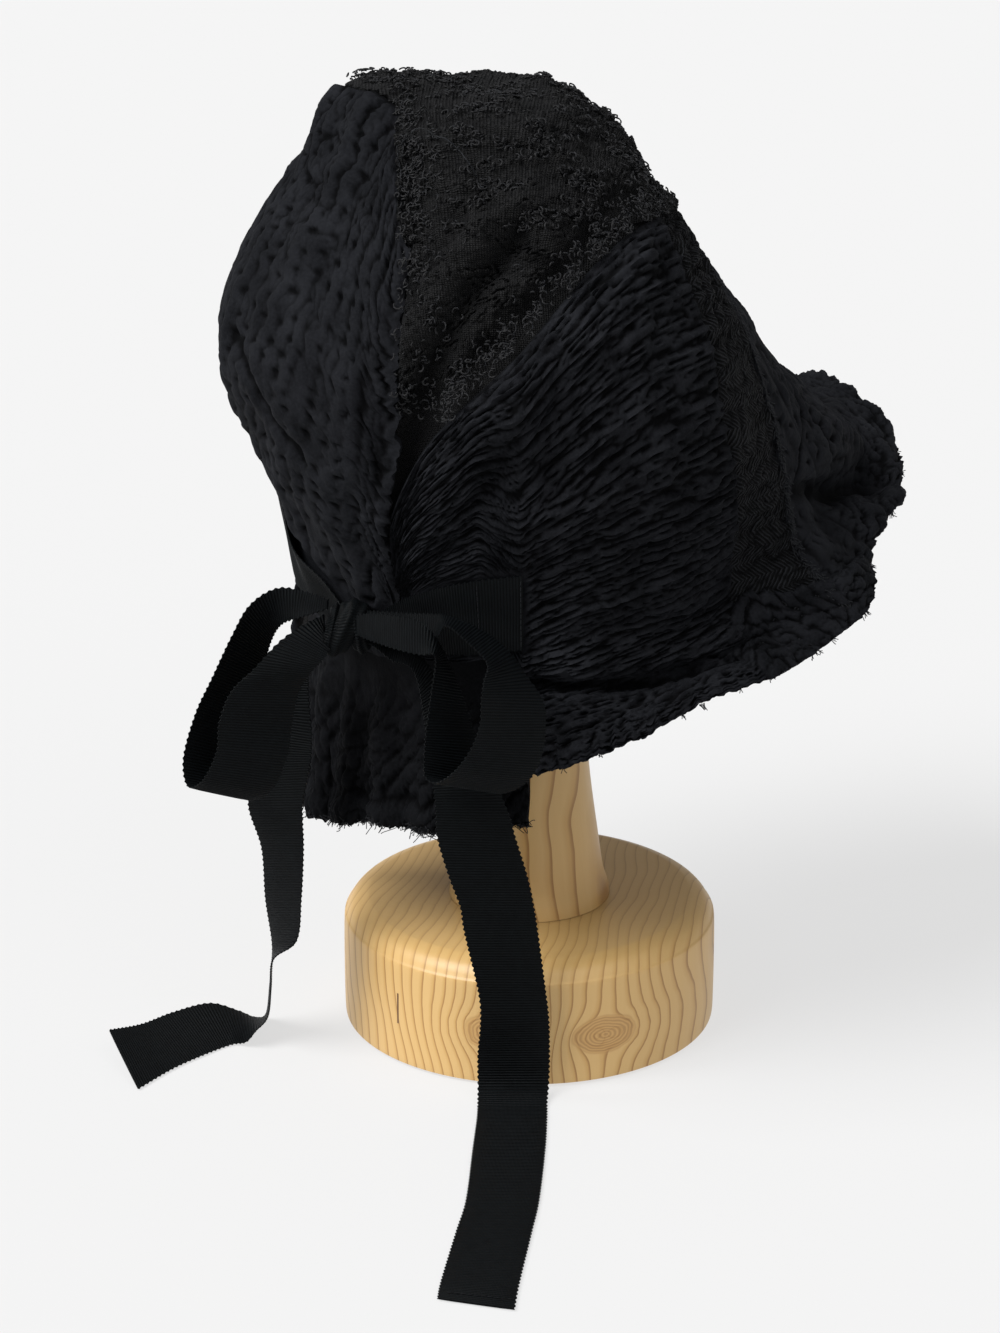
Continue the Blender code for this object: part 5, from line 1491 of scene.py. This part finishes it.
def pine(name, way, pitch):
    """Turned pine: growth lines that bend round two knots, a small split."""
    shade = Shade(name, 0.42, 0.0, 0.45)
    place = shade.place()
    height = shade.node("ShaderNodeSeparateXYZ", Vector=place).outputs["Z"]
    across = shade.dot(place, (*way, 0.03))
    warp = shade.math("MULTIPLY", shade.math("SUBTRACT", shade.noise(9, 2), 0.5), 0.020)
    ripple = shade.math("MULTIPLY", shade.math("SUBTRACT", shade.noise(60, 2), 0.5), 0.0012)
    across = shade.math("ADD", across, shade.math("ADD", warp, ripple))
    knot_share, knot_rings = None, None
    for direction, knot_height, half, push in WOOD_KNOTS:
        angle = math.radians(direction)
        beside = shade.dot(place, (-math.cos(angle), -math.sin(angle), 0.0))
        toward = shade.dot(place, (-math.sin(angle), math.cos(angle), 0.0))
        up = shade.math("MULTIPLY", shade.math("SUBTRACT", height, knot_height), 1.7)
        wander = shade.math("MULTIPLY", shade.math("SUBTRACT", shade.noise(120, 2), 0.5), 0.004)
        far = shade.math("ADD", wander, shade.math("SQRT", shade.math("ADD", shade.math(
            "POWER", beside, 2.0), shade.math("POWER", up, 2.0))))
        facing = shade.math("GREATER_THAN", toward, 0.02)
        fade = shade.math("EXPONENT", shade.math("DIVIDE", far, -0.015))
        side = shade.math("DIVIDE", beside, shade.math("ADD", far, 0.003))
        shift = shade.math("MULTIPLY", shade.math("MULTIPLY", side, fade),
                           shade.math("MULTIPLY", facing, -push))
        across = shade.math("ADD", across, shift)
        inside = shade.math("MULTIPLY", facing, shade.math("SMOOTH_MIN", 1.0, shade.math(
            "MAXIMUM", 0.0, shade.math("MULTIPLY", shade.math("SUBTRACT", 1.9 * half, far), 500.0)), 0.1))
        rings = shade.math("MULTIPLY", inside, shade.wave(far, 0.0019))
        knot_share = inside if knot_share is None else shade.math("MAXIMUM", knot_share, inside)
        knot_rings = rings if knot_rings is None else shade.math("MAXIMUM", knot_rings, rings)
    spread = shade.math("MULTIPLY", shade.noise(24, 1), 1.3)
    phase = shade.math("FRACT", shade.math("ADD", shade.math("DIVIDE", across, pitch), spread))
    wood = shade.ramp(phase, ((0.0, PINE_LIGHT), (0.55, PINE_LIGHT), (0.82, PINE_TAN),
                              (0.93, PINE_LINE), (0.985, PINE_LINE), (1.0, PINE_LIGHT)))
    fibre = shade.node("ShaderNodeMapping", Vector=place, Scale=(420, 420, 14)).outputs[0]
    wood = shade.mix(shade.math("MULTIPLY", shade.noise(1.0, 3, 0.6, fibre), 0.35), wood, (*PINE_TAN, 1.0))
    ring_colour = shade.mix(knot_rings, (*KNOT_WOOD, 1.0), (*PINE_LINE, 1.0))
    wood = shade.mix(shade.math("MULTIPLY", knot_share, 0.75), wood, ring_colour)
    angle = math.radians(SPLIT_DIRECTION)
    beside = shade.dot(place, (-math.cos(angle), -math.sin(angle), 0.0))
    facing = shade.math("GREATER_THAN", shade.dot(place, (-math.sin(angle), math.cos(angle), 0.0)), 0.03)
    narrow = shade.math("LESS_THAN", shade.math("ABSOLUTE", beside), 0.00045)
    short = shade.math("LESS_THAN", shade.math("ABSOLUTE", shade.math("SUBTRACT", height, SPLIT_HEIGHT)), 0.0065)
    split = shade.math("MULTIPLY", facing, shade.math("MULTIPLY", narrow, short))
    upward = shade.node("ShaderNodeSeparateXYZ", Vector=shade.node("ShaderNodeNewGeometry").outputs["Normal"])
    # Faces that look up have their grain evened towards the mean tone, the more so the more they face up.
    upward_evening = shade.math("MULTIPLY", shade.math("MAXIMUM", upward.outputs["Z"], 0.25), 0.55)
    wood = shade.mix(upward_evening, wood, (*PINE_MEAN, 1.0))
    shade.colour(shade.mix(split, wood, (0.12, 0.055, 0.02, 1.0)))
    shade.bump(((shade.noise(1.0, 3, 0.6, fibre), 0.00008), (phase, 0.00005)))
    return shade.material


def floor_and_light():
    """Pale floor, a broad light from the upper left and an even pale sky."""
    shade = Shade("pale_floor", 0.9, 0.0, 0.1)
    shade.colour((0.16, 0.16, 0.16, 1.0))
    shade.shader.inputs["Emission Color"].default_value = (1.0, 1.0, 1.0, 1.0)
    shade.shader.inputs["Emission Strength"].default_value = FLOOR_GLOW
    half = 14.0
    corners = np.array([(-half, -half, 0), (half, -half, 0), (half, half, 0), (-half, half, 0)], float)
    floor = mesh_piece("floor", corners - np.array([0, 0, 0.0002]), [np.array([[0, 1, 2, 3]])])
    floor.data.materials.append(shade.material)
    for name, to_left, to_up, to_front, energy, wide in LIGHTS:
        sun = bpy.data.objects.new(name, bpy.data.lights.new(name, "SUN"))
        sun.data.energy, sun.data.angle = energy, math.radians(wide)
        way = Vector(-to_left * RIGHT + to_up * np.array([0, 0, 1.0]) + to_front * TOWARD)
        sun.rotation_euler = way.to_track_quat("Z", "Y").to_euler()
        bpy.context.scene.collection.objects.link(sun)
    world = bpy.data.worlds.new("pale_sky")
    world.use_nodes = True
    world.node_tree.nodes["Background"].inputs["Color"].default_value = (1.0, 1.0, 1.0, 1.0)
    world.node_tree.nodes["Background"].inputs["Strength"].default_value = SKY_STRENGTH
    bpy.context.scene.world = world
    bpy.context.scene.view_settings.view_transform = "Standard"


VIEW_TURN = math.radians(55.0)   # the camera stands this far round from the back
VIEW_DROP = math.radians(20.0)   # and looks down this much
VIEW_REACH = 1.356               # level distance from the stand axis
VIEW_HEIGHT = 0.641
VIEW_SIDE = 0.0119               # sideways shift of the camera, towards the left
FOCAL_PIXELS = 3645.0            # focal length in pixels of the 1333 pixel high frame
RIGHT = np.array([-math.cos(VIEW_TURN), -math.sin(VIEW_TURN), 0.0])
TOWARD = np.array([-math.sin(VIEW_TURN), math.cos(VIEW_TURN), 0.0])
LIGHTS = (
    # name, to the left, up, to the front, strength, spread in degrees
    ("key", 0.95, 1.25, 0.55, 4.5, 40),
    ("fill", -0.6, 0.9, 0.8, 0.5, 40),
)
SKY_STRENGTH = 0.34
FLOOR_GLOW = 0.662


def camera():
    down = math.sin(VIEW_DROP)
    forward = -TOWARD * math.cos(VIEW_DROP) - np.array([0, 0, down])
    upward = np.cross(RIGHT, forward)
    place = TOWARD * VIEW_REACH + np.array([0, 0, VIEW_HEIGHT]) - VIEW_SIDE * RIGHT
    data = bpy.data.cameras.new("camera")
    data.sensor_fit = "VERTICAL"
    data.sensor_height = 36.0
    data.lens = 36.0 * FOCAL_PIXELS / 1333.0
    made = bpy.data.objects.new("camera", data)
    columns = np.column_stack([RIGHT, upward, -forward, place])
    made.matrix_world = Matrix([*columns.tolist(), [0, 0, 0, 1]])
    bpy.context.scene.collection.objects.link(made)
    bpy.context.scene.camera = made


def build():
    cloth, looped, zigzag, silk = cotton("quilted_cotton"), knit(), zigzag_weave(), grosgrain_silk()
    thread, dark_yarn = yarn("sewing_thread", (0.006, 0.0065, 0.0075)), yarn("crown_yarn", (0.0030, 0.0030, 0.0034), 0.6, 0.25)
    crown_cap(looped)
    crown_tongue(looped)
    cloth_panel("back_panel", BACK_SEAM_LEFT, BACK_SEAM_RIGHT, cloth, back_relief, 0.00085, (0.4, 0.9),
                edge_lift=(0.0, 0.0012))
    cloth_panel("side_panel_right", SIDE_SEAM_BACK, WEAVE_SEAM_BACK, cloth, side_relief, 0.00085,
                (0.9, 1.0))
    cloth_panel("weave_gore_right", WEAVE_SEAM_BACK, WEAVE_SEAM_FRONT, zigzag, weave_relief, 0.0009)
    brim_facing(cloth)
    cloth_panel("front_side_panel_right", WEAVE_SEAM_FRONT, STRIP_SEAM_FRONT, cloth, strip_relief,
                0.0009, (1.6, 0.0), edge_lift=(0.0019, 0.0))
    cloth_panel("front_panel", STRIP_SEAM_FRONT, STRIP_SEAM_LEFT, cloth, front_relief, 0.00125)
    cloth_panel("front_side_panel_left", STRIP_SEAM_LEFT, WEAVE_SEAM_LEFT, cloth, strip_relief,
                0.0012, (0.0, 1.6), edge_lift=(0.0, 0.0019))
    cloth_panel("weave_gore_left", WEAVE_SEAM_LEFT, SIDE_SEAM_LEFT, zigzag, weave_relief, 0.0012)
    cloth_panel("side_panel_left", SIDE_SEAM_LEFT, BACK_SEAM_LEFT, cloth, side_relief, 0.0013)
    # the nape curtain's cotton at 0.45 of the tone: painted shade of the bow above it
    nape_curtain(cotton("shaded_curtain_cotton", 0.45))
    band("ribbon_band_right", BAND_RIGHT, silk)
    band("ribbon_band_left", BAND_LEFT, silk)
    bow_knot(silk)
    loose_ribbon("bow_loop_right", LOOP_RIGHT, silk)
    loose_ribbon("bow_loop_left", LOOP_LEFT, silk)
    loose_ribbon("ribbon_tail_right", TAIL_RIGHT, silk)
    loose_ribbon("ribbon_tail_left", TAIL_LEFT, silk)
    crown_yarn(dark_yarn)
    long_threads(thread)
    brim_frays(thread)
    ribbon_stitches(thread)
    stand(pine("turned_pine", GRAIN_WAY, GRAIN_PITCH), pine("post_pine", POST_GRAIN_WAY, 0.0095))


build()
floor_and_light()
camera()
bpy.context.view_layer.update()
